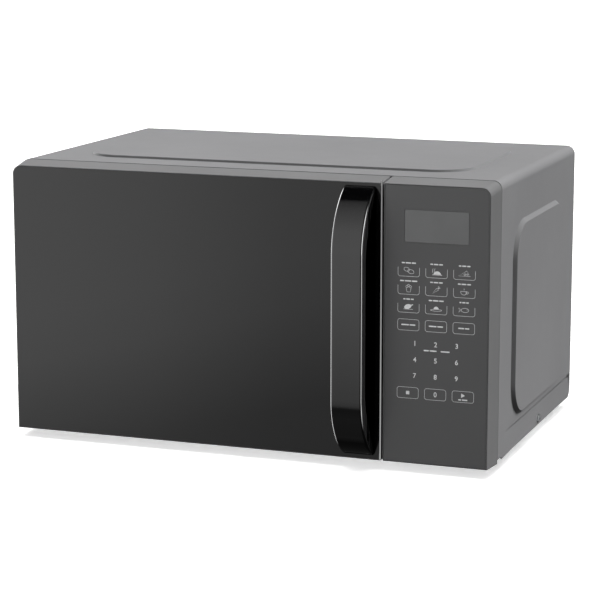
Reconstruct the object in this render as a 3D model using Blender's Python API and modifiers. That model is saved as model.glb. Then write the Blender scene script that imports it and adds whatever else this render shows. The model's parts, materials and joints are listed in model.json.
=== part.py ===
"""A countertop microwave oven with a glass door, an arched handle and a keypad panel.

Metres, +Z up. The door faces -Y, the hinge side is -X and the keypad side is +X.
The origin is under the middle of the oven, on the surface that it stands on.
"""
import math

import bmesh
import bpy
from mathutils import Matrix, Vector

# Driving dimensions of the case
HALF_WIDTH = 0.225
BODY_BOTTOM = 0.010
BODY_TOP = 0.254
FACE_Y = -0.1295
SEAM_Y = -0.1060
REAR_Y = 0.1635
FACE_BOTTOM = 0.0088
FACE_TAPER = 0.003
SPLIT_X = 0.1276
SPLIT_GAP = 0.002
CORNER_RADIUS = 0.008
SHEET = 0.001
GAP = 0.0003
HANDLE_REACH = 0.036

# Raised panels pressed into the cover
TOP_PANEL_HEIGHT = 0.0023
TOP_PANEL_HALF_WIDTH = 0.183
PANEL_FRONT_Y = -0.070
PANEL_REAR_Y = 0.114
SIDE_PANEL_HEIGHT = 0.004
SIDE_PANEL_LOW = 0.0345
SIDE_PANEL_HIGH = 0.2125
PANEL_RADIUS = 0.034
PANEL_SLOPE = 0.0055

# Cooking cavity, inside faces
CAVITY_LEFT = -0.201
CAVITY_RIGHT = 0.097
CAVITY_FLOOR = 0.031
CAVITY_CEILING = 0.231
CAVITY_REAR = 0.152
FRONT_PLATE_Y = -0.1055
FRONT_PLATE_THICK = 0.0012
TURN_X = (CAVITY_LEFT + CAVITY_RIGHT) / 2
TURN_Y = 0.0225

# Door
DOOR_RIGHT = SPLIT_X - SPLIT_GAP / 2
DOOR_BACK_Y = SEAM_Y - 0.0005
DOOR_WALL_Y = -0.1242
HINGE_X = -0.2185
HINGE_Y = -0.1195
HINGE_PIN = 0.0019
HINGE_ARM_Z = {"upper": (0.2425, 0.2440), "lower": (0.0190, 0.0205)}
HINGE_EAR_Z = {"upper": (0.2380, 0.2395), "lower": (0.0235, 0.0250)}
NOTCH_ROOM = 0.002
BACK_CORNER = 0.003
GLASS_THICK = 0.003
FACE_LIP = 0.0008
CHOKE_LEFT = -0.2115
CHOKE_RIGHT = 0.1150
WINDOW_LEFT = -0.1950
WINDOW_RIGHT = 0.0910
WINDOW_LOW = 0.0370
WINDOW_HIGH = 0.2250

# Latch and its switches
HOOK_X = (0.1175, 0.1225)
HOOK_TIP_Y = -0.0880
HOOK_Z = {"upper": (0.190, 0.197), "lower": (0.068, 0.075)}
HOOK_DROP = 0.005
SWITCH_Z = {"upper_door_switch": 0.178, "lower_door_switch": 0.0395, "monitor_switch": 0.0695}
BUTTON_Z = {"upper_door_switch": 0.1935, "lower_door_switch": 0.0650, "monitor_switch": 0.0722}
SWITCH_SIZE = (0.0103, 0.016, 0.028)

# Turntable
WHEEL_RADIUS = 0.007
WHEEL_RING_RADIUS = 0.088
WHEEL_Z = CAVITY_FLOOR + GAP + WHEEL_RADIUS
TRAY_Z = WHEEL_Z + WHEEL_RADIUS + GAP
TRAY_RADIUS = 0.1225

# Cooling fan
FAN_X = 0.162
FAN_Z = 0.150
FAN_RADIUS = 0.0445

# Keypad panel
PANEL_LEFT = SPLIT_X + SPLIT_GAP / 2
DISPLAY_X = (0.1468, 0.2036)
DISPLAY_Z = (0.2015, 0.2297)
FILM_THICK = 0.0005

COLOURS = {
    "painted_steel": ((0.060, 0.060, 0.062), 0.35, 0.0),
    "black_plastic": ((0.018, 0.018, 0.019), 0.35, 0.0),
    "gloss_black": ((0.006, 0.006, 0.006), 0.05, 0.0),
    "dark_glass": ((0.010, 0.010, 0.011), 0.02, 0.0),
    "clear_glass": ((0.75, 0.80, 0.78), 0.03, 0.0),
    "enamel": ((0.35, 0.35, 0.36), 0.30, 0.0),
    "zinc_steel": ((0.55, 0.56, 0.57), 0.38, 1.0),
    "lamination": ((0.16, 0.15, 0.15), 0.55, 0.8),
    "copper": ((0.72, 0.35, 0.18), 0.35, 1.0),
    "aluminium": ((0.72, 0.73, 0.74), 0.30, 1.0),
    "mica": ((0.55, 0.47, 0.36), 0.60, 0.0),
    "board": ((0.05, 0.22, 0.10), 0.50, 0.0),
    "white_plastic": ((0.75, 0.74, 0.70), 0.45, 0.0),
    "grey_plastic": ((0.20, 0.20, 0.21), 0.50, 0.0),
    "rubber": ((0.02, 0.02, 0.02), 0.85, 0.0),
    "spring_steel": ((0.60, 0.60, 0.60), 0.25, 1.0),
    "display": ((0.045, 0.047, 0.050), 0.12, 0.0),
}


def clear_scene():
    for item in list(bpy.data.objects):
        bpy.data.objects.remove(item, do_unlink=True)


def new_collection(name):
    group = bpy.data.collections.new(name)
    bpy.context.scene.collection.children.link(group)
    return group


def new_material(name, colour, roughness, metallic):
    made = bpy.data.materials.new(name)
    made.use_nodes = True
    shader = made.node_tree.nodes["Principled BSDF"]
    shader.inputs["Base Color"].default_value = (*colour, 1.0)
    shader.inputs["Roughness"].default_value = roughness
    shader.inputs["Metallic"].default_value = metallic
    return made


clear_scene()
PARTS = new_collection("microwave_oven")
CUTTERS = new_collection("cutters")
MATERIALS = {name: new_material(name, *look) for name, look in COLOURS.items()}


# Shapes

def add_box(shape, low, high):
    """Adds a box between two corners and returns its vertices."""
    centre = [(a + b) / 2 for a, b in zip(low, high)]
    size = [b - a for a, b in zip(low, high)]
    place = Matrix.Translation(centre) @ Matrix.Diagonal((*size, 1.0))
    return bmesh.ops.create_cube(shape, size=1.0, matrix=place)["verts"]


def add_cylinder(shape, start, end, radius, end_radius=None, sides=32):
    """Adds a cylinder or cone frustum between two points and returns its vertices."""
    start = Vector(start)
    span = Vector(end) - start
    turn = Vector((0, 0, 1)).rotation_difference(span).to_matrix().to_4x4()
    place = Matrix.Translation(start + span / 2) @ turn
    if end_radius is None:
        end_radius = radius
    return bmesh.ops.create_cone(
        shape, cap_ends=True, segments=sides, radius1=radius, radius2=end_radius,
        depth=span.length, matrix=place,
    )["verts"]


def round_edges(shape, verts, axis, radius, segments=4, keep=None):
    """Rounds the edges of the given vertices that run along one axis."""
    edges = []
    for edge in {edge for vert in verts for edge in vert.link_edges}:
        span = edge.verts[1].co - edge.verts[0].co
        middle = (edge.verts[0].co + edge.verts[1].co) / 2
        if abs(span[axis]) > 0.999 * span.length and (keep is None or keep(middle)):
            edges.append(edge)
    bmesh.ops.bevel(
        shape, geom=edges, offset=radius, segments=segments, profile=0.5, affect="EDGES",
    )


def add_slab(shape, low, high, axis, radius, segments=4, keep=None):
    """Adds a box whose edges along one axis are rounded."""
    round_edges(shape, add_box(shape, low, high), axis, radius, segments, keep)


def near_top(middle):
    return middle.z > BODY_TOP / 2


def keypad_corner(middle):
    """The keypad panel's one large corner: at the top, on its outer side."""
    return near_top(middle) and middle.x > (PANEL_LEFT + HALF_WIDTH) / 2


def door_corner(middle):
    """The door's one large corner: at the top, on its hinge side."""
    return near_top(middle) and middle.x < 0


def box(low, high):
    shape = bmesh.new()
    add_box(shape, low, high)
    return shape


def boxes(*corners):
    shape = bmesh.new()
    for low, high in corners:
        add_box(shape, low, high)
    return shape


def slab(low, high, axis, radius, segments=4, keep=None):
    shape = bmesh.new()
    add_slab(shape, low, high, axis, radius, segments, keep)
    return shape


def cylinder(start, end, radius, end_radius=None, sides=32):
    shape = bmesh.new()
    add_cylinder(shape, start, end, radius, end_radius, sides)
    return shape


def turned(name, outline, colour, steps=48):
    """Turns a profile of (radius, height) points, outer side top to bottom, about Z."""
    shape = bmesh.new()
    points = [shape.verts.new((radius, 0, height)) for radius, height in outline]
    for first, second in zip(points, points[1:]):
        shape.edges.new((first, second))
    made = part(name, shape, colour)
    screw = made.modifiers.new("turn", "SCREW")
    screw.steps = steps
    screw.render_steps = steps
    screw.use_merge_vertices = True
    screw.merge_threshold = 0.00005
    return made


# Objects

def link(name, shape, group):
    mesh = bpy.data.meshes.new(name)
    shape.normal_update()
    shape.to_mesh(mesh)
    shape.free()
    made = bpy.data.objects.new(name, mesh)
    group.objects.link(made)
    return made


def part(name, shape, colour, at=(0, 0, 0)):
    """Makes one sub-part from a shape, with its material and smooth rounds."""
    made = link(name, shape, PARTS)
    made.location = at
    made.data.materials.append(MATERIALS[colour])
    made.data.shade_smooth()
    made.data.set_sharp_from_angle(angle=math.radians(35))
    return made


def boolean(target, shape, operation, label):
    """Cuts a shape from the target or joins it on, and returns the shape's own object."""
    tool = link(f"{target.name}_{label}", shape, CUTTERS)
    tool.hide_render = True
    tool.display_type = "WIRE"
    tool.location = target.location
    change = target.modifiers.new(label, "BOOLEAN")
    change.operation = operation
    change.solver = "EXACT"
    change.use_self = True
    change.object = tool
    return tool


def cut(target, shape, label="cut"):
    return boolean(target, shape, "DIFFERENCE", label)


def merge(target, shape, label="joined"):
    return boolean(target, shape, "UNION", label)


def axis_empty(name, at, parent=None):
    made = bpy.data.objects.new(name, None)
    made.empty_display_size = 0.02
    PARTS.objects.link(made)
    made.location = at
    if parent is not None:
        hang(made, parent)
    return made


def world_place(item):
    place = item.location.copy()
    if item.parent is not None:
        place = item.matrix_parent_inverse.translation + place + world_place(item.parent)
    return place


def hang(child, parent):
    """Parents a piece and its cutters without moving them: every place here is a plain shift."""
    child.parent = parent
    child.matrix_parent_inverse = Matrix.Translation(-world_place(parent))
    for change in child.modifiers:
        if change.type == "BOOLEAN" and change.object.parent is None:
            hang(change.object, parent)


# Case

def cover_shape(inset):
    """The cover's outside at inset 0, or its inside face at inset SHEET."""
    side = HALF_WIDTH - inset
    top = BODY_TOP - inset
    front = SEAM_Y + GAP - inset
    rear = REAR_Y - inset
    bottom = BODY_BOTTOM - inset
    return slab((-side, front, bottom), (side, rear, top), 1, CORNER_RADIUS - inset, 6,
                keep=lambda middle: middle.z > BODY_BOTTOM + inset)


def raised_panel(inset, axis, sign):
    """A pressed-out panel with sloping sides: on the top (axis 2) or a side (axis 0)."""
    if axis == 2:
        low = [-TOP_PANEL_HALF_WIDTH, PANEL_FRONT_Y, BODY_TOP - 0.004]
        high = [TOP_PANEL_HALF_WIDTH, PANEL_REAR_Y, BODY_TOP + TOP_PANEL_HEIGHT - inset]
        slope = 0.0015
    else:
        outer = sign * (HALF_WIDTH + SIDE_PANEL_HEIGHT - inset)
        inner = sign * (HALF_WIDTH - 0.004)
        low = [min(inner, outer), PANEL_FRONT_Y + 0.004, SIDE_PANEL_LOW]
        high = [max(inner, outer), PANEL_REAR_Y, SIDE_PANEL_HIGH]
        slope = PANEL_SLOPE
    shape = slab(low, high, axis, PANEL_RADIUS, 6)
    face = high[axis] if sign > 0 else low[axis]
    centre = [(a + b) / 2 for a, b in zip(low, high)]
    half = [(b - a) / 2 for a, b in zip(low, high)]
    for vert in shape.verts:
        is_face = abs(vert.co[axis] - face) < 1e-5
        pull = (slope if is_face else 0.0) + inset * 0.5
        for across in range(3):
            if across != axis:
                offset = (vert.co[across] - centre[across]) * (1 - pull / half[across])
                vert.co[across] = centre[across] + offset
    return shape


def make_cover():
    cover = part("outer_cover", cover_shape(0.0), "painted_steel")
    for label, axis, sign in (("top", 2, 1), ("left", 0, -1), ("right", 0, 1)):
        merge(cover, raised_panel(0.0, axis, sign), f"raised_{label}")
    cut(cover, cover_shape(SHEET), "inside")
    for label, axis, sign in (("top", 2, 1), ("left", 0, -1), ("right", 0, 1)):
        cut(cover, raised_panel(SHEET, axis, sign), f"inside_{label}")
    flange = 0.012
    rim = HALF_WIDTH - SHEET - flange
    cut(cover, box((-rim, CAVITY_REAR, 0), (rim, REAR_Y + SHEET, BODY_TOP - flange)), "rear_opening")
    notch_depth = 0.014
    notch_rise = 0.0125
    side = HALF_WIDTH + SHEET
    cut(cover, box((-side, SEAM_Y - SHEET, 0), (side, SEAM_Y + notch_depth, notch_rise)), "front_notch")
    cut(cover, screw_holes(), "screw_holes")


REAR_SCREWS = {
    "rear_screw_low_left": (-0.2175, 0.060),
    "rear_screw_high_left": (-0.2175, 0.200),
    "rear_screw_low_right": (0.2175, 0.060),
    "rear_screw_high_right": (0.2175, 0.200),
}
SIDE_SCREW_Y = 0.0385
SIDE_SCREW_Z = 0.0162
SCREW_HOLE = 0.0022
SCREW_SHANK = 0.0018
SCREW_HEAD = (0.0038, 0.0030)


def screw_holes():
    """Cutters for every screw of the cover, through the sheets that they hold together."""
    shape = bmesh.new()
    for x, z in REAR_SCREWS.values():
        add_cylinder(shape, (x, REAR_Y - 0.0085, z), (x, REAR_Y + 0.0065, z), SCREW_HOLE, sides=16)
    for sign in (-1, 1):
        start = (sign * (HALF_WIDTH - 0.006), SIDE_SCREW_Y, SIDE_SCREW_Z)
        end = (sign * (HALF_WIDTH + 0.005), SIDE_SCREW_Y, SIDE_SCREW_Z)
        add_cylinder(shape, start, end, SCREW_HOLE, sides=16)
    return shape


def make_screw(name, at, out, head_height, length):
    """A round-headed screw whose head stands proud along the out direction."""
    out = Vector(out)
    head = part(name, cylinder(out * GAP, out * head_height, *SCREW_HEAD, 20), "zinc_steel", at)
    merge(head, cylinder(-out * length, out * SHEET, SCREW_SHANK, sides=16), "shank")


def make_screws():
    for name, (x, z) in REAR_SCREWS.items():
        make_screw(name, (x, REAR_Y, z), (0, 1, 0), 0.0020, 0.0045)
    for name, sign in (("side_screw_left", -1), ("side_screw_right", 1)):
        at = (sign * HALF_WIDTH, SIDE_SCREW_Y, SIDE_SCREW_Z)
        make_screw(name, at, (sign, 0, 0), 0.0018, 0.0060)


def make_base():
    """The floor pan, with up-turned sides, vent slots and the four feet under it."""
    side = HALF_WIDTH - SHEET - GAP
    floor = BODY_BOTTOM + SHEET
    front = FRONT_PLATE_Y + FRONT_PLATE_THICK + GAP
    rear = 0.1603
    lip = 0.0100
    wall = 0.0008
    base = part("base_plate", box((-side, front, floor), (side, rear, floor + SHEET + lip)), "zinc_steel")
    inner = side - wall
    cut(base, box((-inner, front - SHEET, floor + SHEET), (inner, rear + SHEET, BODY_TOP)), "tray")
    slots = bmesh.new()
    for row in range(7):
        y = -0.040 + 0.010 * row
        add_box(slots, (0.196, y, 0), (0.219, y + 0.004, 0.02))
        add_box(slots, (-0.165, y, 0), (-0.125, y + 0.004, 0.02))
    cut(base, slots, "vents")
    cut(base, screw_holes(), "screw_holes")
    foot_x = 0.185
    for side_name, x in (("left", -foot_x), ("right", foot_x)):
        for end_name, y in (("front", -0.060), ("rear", 0.125)):
            foot = cylinder((0, 0, 0), (0, 0, BODY_BOTTOM + SHEET - GAP), 0.0095, 0.011, 28)
            part(f"foot_{end_name}_{side_name}", foot, "rubber", (x, y, 0))


def make_back():
    """The rear wall, with the fan's grille, an outlet grille and the lead's grommet."""
    side = HALF_WIDTH - SHEET - 0.001
    front = 0.1608
    rear = REAR_Y - SHEET - GAP
    sheet = slab((-side, front, 0.0123), (side, rear, 0.2525), 1, CORNER_RADIUS - SHEET, 6, near_top)
    back = part("back_panel", sheet, "painted_steel")
    grille = bmesh.new()
    for column in range(-4, 5):
        x = FAN_X - 0.004 + 0.0085 * column
        half = math.sqrt(0.040 ** 2 - (0.0085 * column) ** 2)
        add_box(grille, (x - 0.002, 0.155, FAN_Z - half), (x + 0.002, 0.170, FAN_Z + half))
    for column in range(12):
        x = -0.180 + 0.008 * column
        add_box(grille, (x, 0.155, 0.195), (x + 0.0035, 0.170, 0.222))
    cut(back, grille, "grilles")
    lead_x = 0.192
    lead_z = 0.036
    cut(back, cylinder((lead_x, 0.155, lead_z), (lead_x, 0.170, lead_z), 0.0083, sides=24), "lead_hole")
    cut(back, screw_holes(), "screw_holes")
    flange_radius = 0.0105
    gland = part("lead_grommet", cylinder((0, -0.0040, 0), (0, 0.0028, 0), 0.0080, sides=24), "rubber",
                 (lead_x, (front + rear) / 2, lead_z))
    half = (rear - front) / 2 + GAP
    merge(gland, cylinder((0, half, 0), (0, half + 0.0022, 0), flange_radius, sides=24), "rear_flange")
    merge(gland, cylinder((0, -half - 0.0022, 0), (0, -half, 0), flange_radius, sides=24), "front_flange")
    cut(gland, cylinder((0, -0.01, 0), (0, 0.01, 0), 0.0038, sides=24), "bore")


def make_front_plate():
    """The steel front of the frame: the door's sealing face, with slots for hooks and hinges."""
    side = HALF_WIDTH - SHEET - GAP
    rear = FRONT_PLATE_Y + FRONT_PLATE_THICK
    corners = ((-side, FRONT_PLATE_Y, 0.0125), (side, rear, 0.2525))
    plate = part("front_plate", slab(*corners, 1, CORNER_RADIUS - SHEET, 6, near_top), "enamel")
    ahead = FRONT_PLATE_Y - SHEET
    behind = rear + SHEET
    mouth = slab((CAVITY_LEFT, ahead, CAVITY_FLOOR), (CAVITY_RIGHT, behind, CAVITY_CEILING), 1, 0.004, 3)
    cut(plate, mouth, "mouth")
    holes = bmesh.new()
    add_box(holes, (0.1340, ahead, 0.025), (0.2180, behind, 0.240))
    for low, high in HOOK_Z.values():
        add_box(holes, (0.1160, ahead, low - 0.008), (0.1250, behind, high + 0.006))
    for low, high in HINGE_ARM_Z.values():
        add_box(holes, (-0.2222, ahead, low - 0.0006), (-0.2148, behind, high + 0.0006))
    cut(plate, holes, "openings")


def make_cavity():
    outer_low = (CAVITY_LEFT - SHEET, FRONT_PLATE_Y + FRONT_PLATE_THICK + GAP, CAVITY_FLOOR - SHEET)
    outer_high = (CAVITY_RIGHT + SHEET, CAVITY_REAR + SHEET, CAVITY_CEILING + SHEET)
    cavity = part("cavity_box", box(outer_low, outer_high), "enamel")
    inner_low = (CAVITY_LEFT, -0.120, CAVITY_FLOOR)
    inner_high = (CAVITY_RIGHT, CAVITY_REAR, CAVITY_CEILING)
    cut(cavity, box(inner_low, inner_high), "inside")
    shaft_start = (TURN_X, TURN_Y, CAVITY_FLOOR - 0.004)
    shaft_end = (TURN_X, TURN_Y, CAVITY_FLOOR + 0.004)
    cut(cavity, cylinder(shaft_start, shaft_end, 0.0062, sides=20), "shaft_hole")
    ports = bmesh.new()
    add_box(ports, (0.095, 0.012, 0.150), (0.100, 0.084, 0.205))
    for row in range(5):
        z = 0.192 + 0.006 * row
        add_box(ports, (0.095, -0.052, z), (0.100, -0.028, z + 0.003))
        add_box(ports, (-0.204, 0.090, z), (-0.199, 0.130, z + 0.003))
    cut(cavity, ports, "ports")
    cover = box((0.0960, 0.0060, 0.1450), (0.0967, 0.0900, 0.2100))
    part("waveguide_cover", cover, "mica")


# Works in the right-hand compartment

GUIDE_X = (CAVITY_RIGHT + SHEET + GAP, 0.1180)
TUBE_Y = 0.0475
TUBE_Z = 0.1775


def make_waveguide():
    guide = part("waveguide", box((GUIDE_X[0], 0.0, 0.143), (GUIDE_X[1], 0.095, 0.212)), "zinc_steel")
    low = (GUIDE_X[0] - SHEET, SHEET, 0.143 + SHEET)
    high = (GUIDE_X[1] - SHEET, 0.095 - SHEET, 0.212 - SHEET)
    cut(guide, box(low, high), "duct")
    start = (GUIDE_X[1] - 0.005, TUBE_Y, TUBE_Z)
    end = (GUIDE_X[1] + 0.005, TUBE_Y, TUBE_Z)
    cut(guide, cylinder(start, end, 0.013, sides=24), "antenna_hole")


def make_magnetron():
    yoke_low = (GUIDE_X[1] + GAP, 0.006, 0.136)
    yoke_high = (0.200, 0.089, 0.219)
    yoke = part("magnetron", box(yoke_low, yoke_high), "zinc_steel")
    wall = 0.0018
    window_low = (yoke_low[0] + wall, 0.0, yoke_low[2] + wall)
    window_high = (yoke_high[0] - wall, 0.1, yoke_high[2] - wall)
    cut(yoke, box(window_low, window_high), "airway")
    antenna = cylinder((0.106, TUBE_Y, TUBE_Z), (0.119, TUBE_Y, TUBE_Z), 0.0085, 0.0095, 24)
    merge(yoke, antenna, "antenna")
    filter_box = slab((0.1995, 0.018, 0.142), (0.2195, 0.078, 0.200), 0, 0.004, 2)
    merge(yoke, filter_box, "filter_box")
    anode_x = (window_low[0] + GAP, window_high[0] - GAP)
    anode = cylinder((anode_x[0], TUBE_Y, TUBE_Z), (anode_x[1], TUBE_Y, TUBE_Z), 0.019, sides=24)
    cooler = part("magnetron_fins", anode, "aluminium")
    fins = bmesh.new()
    count = 6
    for index in range(count):
        x = window_low[0] + 0.008 + index * 0.0120
        add_box(fins, (x, 0.010, 0.141), (x + 0.0012, 0.085, 0.214))
    merge(cooler, fins, "fins")


def ring(name, low, high, axis, wall, colour, radius):
    """A band: a rounded slab with a smaller one taken out of its middle."""
    band = part(name, slab(low, high, axis, radius), colour)
    inner_low = [value + wall if index != axis else value - 0.01 for index, value in enumerate(low)]
    inner_high = [value - wall if index != axis else value + 0.01 for index, value in enumerate(high)]
    cut(band, slab(inner_low, inner_high, axis, max(radius - wall, 0.001)), "middle")
    return band


def make_transformer():
    """A laminated E-I core with two coils around its middle leg."""
    x = (0.1250, 0.1900)
    y = (-0.0600, 0.0250)
    z = (BODY_BOTTOM + 2 * SHEET + GAP, 0.0850)
    leg = 0.0142
    window = (0.0270, 0.0700)
    core = part("transformer_core", box((x[0], y[0], z[0]), (x[1], y[1], z[1])), "lamination")
    windows = boxes(
        ((x[0] - 0.01, y[0] + leg, window[0]), (x[1] + 0.01, y[0] + 2 * leg, window[1])),
        ((x[0] - 0.01, y[1] - 2 * leg, window[0]), (x[1] + 0.01, y[1] - leg, window[1])),
    )
    cut(core, windows, "windows")
    middle = (y[0] + 2 * leg - GAP, y[1] - 2 * leg + GAP)
    for name, low, high, colour in (
        ("transformer_primary", window[0] + GAP, 0.0455, "copper"),
        ("transformer_secondary", 0.0475, window[1] - GAP, "copper"),
    ):
        outer_low = (x[0] - 0.010, y[0] + leg + GAP, low)
        outer_high = (x[1] + 0.010, y[1] - leg - GAP, high)
        coil = part(name, slab(outer_low, outer_high, 2, 0.006, 3), colour)
        cut(coil, box((x[0] - GAP, middle[0], low - 0.01), (x[1] + GAP, middle[1], high + 0.01)), "leg")


def make_capacitor():
    low = (0.1300, 0.0450, BODY_BOTTOM + 2 * SHEET + GAP)
    high = (0.1650, 0.0990, 0.0950)
    can = part("capacitor", slab(low, high, 2, 0.0170, 6), "aluminium")
    terminals = boxes(
        ((0.146, 0.056, 0.094), (0.149, 0.062, 0.106)),
        ((0.146, 0.082, 0.094), (0.149, 0.088, 0.106)),
    )
    merge(can, terminals, "terminals")
    wall = 0.0010
    offset = wall + GAP
    strap_low = (low[0] - offset, low[1] - offset, 0.0480)
    strap_high = (high[0] + offset, high[1] + offset, 0.0600)
    clamp = ring("capacitor_clamp", strap_low, strap_high, 2, wall, "zinc_steel", 0.0178)
    foot_x = strap_high[0] - wall / 2
    foot = boxes(
        ((foot_x, 0.066, 0.0123), (foot_x + wall, 0.078, 0.060)),
        ((foot_x, 0.066, 0.0123), (foot_x + 0.014, 0.078, 0.0133)),
    )
    merge(clamp, foot, "foot")


def make_fan():
    """An axial fan that draws air in through the rear grille: shroud, motor and blades."""
    low = (0.1070, 0.1340, 0.0980)
    high = (0.2190, 0.1570, 0.2030)
    shroud = part("fan_shroud", box(low, high), "grey_plastic")
    start = (FAN_X, 0.1280, FAN_Z)
    end = (FAN_X, 0.1600, FAN_Z)
    cut(shroud, cylinder(start, end, FAN_RADIUS + 0.003, sides=40), "duct")
    bar = box((low[0] + 0.004, 0.1340, FAN_Z - 0.007), (high[0] - 0.004, 0.1362, FAN_Z + 0.007))
    merge(shroud, bar, "motor_bar")
    cut(shroud, cylinder(start, (FAN_X, 0.1380, FAN_Z), 0.0032, sides=20), "shaft_hole")
    stack = ((FAN_X - 0.022, 0.1090, FAN_Z - 0.020), (FAN_X + 0.022, 0.1335, FAN_Z + 0.020))
    coil = ((FAN_X - 0.015, 0.1010, FAN_Z - 0.026), (FAN_X + 0.015, 0.1100, FAN_Z + 0.010))
    motor = part("fan_motor", slab(*stack, 1, 0.003, 2), "lamination")
    merge(motor, slab(*coil, 1, 0.003, 2), "coil")
    merge(motor, cylinder((FAN_X, 0.1325, FAN_Z), (FAN_X, 0.1480, FAN_Z), 0.0016, sides=16), "shaft")
    hub = cylinder((0, -0.007, 0), (0, 0.007, 0), 0.0095, sides=24)
    blade = part("fan_blade", hub, "white_plastic", (FAN_X, 0.1470, FAN_Z))
    vanes = bmesh.new()
    for index in range(5):
        verts = add_box(vanes, (0.007, -0.0006, -0.0105), (FAN_RADIUS, 0.0006, 0.0105))
        pitch = Matrix.Rotation(math.radians(62), 4, "X")
        spin = Matrix.Rotation(math.radians(72 * index), 4, "Y")
        bmesh.ops.transform(vanes, matrix=spin @ pitch, verts=verts)
    merge(blade, vanes, "vanes")
    cut(blade, cylinder((0, -0.010, 0), (0, 0.004, 0), 0.0021, sides=16), "bore")
    hang(blade, axis_empty("fan_axis", (FAN_X, 0.1470, FAN_Z)))


def make_lamp():
    y = -0.040
    z = 0.2055
    lamp = part("cavity_lamp", cylinder((0.1120, y, z), (0.1300, y, z), 0.0085, sides=24), "white_plastic")
    bulb = bmesh.new()
    place = Matrix.Translation((0.1090, y, z))
    bmesh.ops.create_uvsphere(bulb, u_segments=16, v_segments=8, radius=0.0078, matrix=place)
    merge(lamp, bulb, "bulb")


def make_boards():
    """The mains filter board, and the control board with its relays behind the keypad."""
    noise = part("mains_filter_board", box((0.106, 0.098, 0.2240), (0.205, 0.155, 0.2256)), "board")
    items = bmesh.new()
    add_cylinder(items, (0.128, 0.127, 0.2250), (0.128, 0.127, 0.2390), 0.012, sides=24)
    add_slab(items, (0.148, 0.112, 0.2250), (0.172, 0.124, 0.2420), 2, 0.001, 1)
    add_cylinder(items, (0.150, 0.141, 0.2290), (0.190, 0.141, 0.2290), 0.0040, sides=16)
    merge(noise, items, "components")

    control = part("control_board", box((0.1370, -0.1150, 0.040), (0.2150, -0.1134, 0.233)), "board")
    items = boxes(
        ((0.145, -0.1140, 0.060), (0.173, -0.0960, 0.080)),
        ((0.180, -0.1140, 0.060), (0.208, -0.0960, 0.080)),
        ((0.150, -0.1140, 0.105), (0.192, -0.0880, 0.140)),
        ((0.145, -0.1140, 0.165), (0.165, -0.1080, 0.185)),
    )
    add_cylinder(items, (0.195, -0.1140, 0.175), (0.195, -0.1040, 0.175), 0.006, sides=20)
    merge(control, items, "components")
    tray = (DISPLAY_X[0] + 0.002, -0.1255, DISPLAY_Z[0] + 0.002)
    part("display_module", box(tray, (DISPLAY_X[1] - 0.002, -0.1153, DISPLAY_Z[1] - 0.002)), "display")


# Keypad panel

def bezel(low, high, taper_left, taper_right, keep):
    """A front block that narrows from the seam to the face, with one large top corner."""
    shape = slab(low, high, 1, CORNER_RADIUS, 6, keep)
    width = high[0] - low[0]
    height = high[2] - low[2]
    for vert in shape.verts:
        if vert.co.y < low[1] + 1e-5:
            across = (vert.co.x - low[0]) / width
            vert.co.x += taper_left * (1 - across) - taper_right * across
            vert.co.z -= FACE_TAPER * (vert.co.z - low[2]) / height
    return shape


def make_keypad_panel():
    low = (PANEL_LEFT, FACE_Y, FACE_BOTTOM)
    high = (HALF_WIDTH, SEAM_Y, BODY_TOP)
    block = bezel(low, high, 0.0, FACE_TAPER, keypad_corner)
    frame = part("control_panel_frame", block, "black_plastic")
    wall = 0.0025
    inner_low = (PANEL_LEFT + wall, FACE_Y + 0.0033, FACE_BOTTOM + wall)
    inner_high = (HALF_WIDTH - FACE_TAPER - wall, SEAM_Y + SHEET, BODY_TOP - FACE_TAPER - wall)
    cut(frame, slab(inner_low, inner_high, 1, 0.003, 2), "pocket")
    film_x = (PANEL_LEFT + FACE_LIP, HALF_WIDTH - FACE_TAPER - FACE_LIP)
    film_z = (FACE_BOTTOM + FACE_LIP, BODY_TOP - FACE_TAPER - FACE_LIP)
    hollow = slab((film_x[0], FACE_Y - SHEET, film_z[0]),
                  (film_x[1], FACE_Y + FILM_THICK + GAP, film_z[1]), 1,
                  CORNER_RADIUS - FACE_LIP, 6, keypad_corner)
    cut(frame, hollow, "film_recess")
    edge = 0.002
    opening_low = (DISPLAY_X[0] + edge, FACE_Y - SHEET, DISPLAY_Z[0] + edge)
    opening_high = (DISPLAY_X[1] - edge, FACE_Y + 0.01, DISPLAY_Z[1] - edge)
    cut(frame, box(opening_low, opening_high), "display_opening")

    film = slab((film_x[0] + GAP, FACE_Y, film_z[0] + GAP),
                (film_x[1] - GAP, FACE_Y + FILM_THICK, film_z[1] - GAP), 1,
                CORNER_RADIUS - FACE_LIP - GAP, 6, keypad_corner)
    overlay = part("key_overlay", film, "black_plastic")
    cut(overlay, slab((DISPLAY_X[0], FACE_Y - SHEET, DISPLAY_Z[0]),
                      (DISPLAY_X[1], FACE_Y + SHEET, DISPLAY_Z[1]), 1, 0.0015, 3), "display_hole")
    part("display_window", slab((DISPLAY_X[0] + GAP, FACE_Y, DISPLAY_Z[0] + GAP),
                                (DISPLAY_X[1] - GAP, FACE_Y + FILM_THICK, DISPLAY_Z[1] - GAP),
                                1, 0.0012, 3), "display")


# Door

def hinge_notches():
    """Slots in the door's hinge side that let the arms swing as the door opens."""
    shape = bmesh.new()
    for key in ("upper", "lower"):
        values = HINGE_ARM_Z[key] + HINGE_EAR_Z[key]
        low = min(values) - NOTCH_ROOM
        high = max(values) + NOTCH_ROOM
        add_box(shape, (-0.2270, -0.1248, low), (-0.2120, DOOR_BACK_Y + SHEET, high))
    return shape


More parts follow.
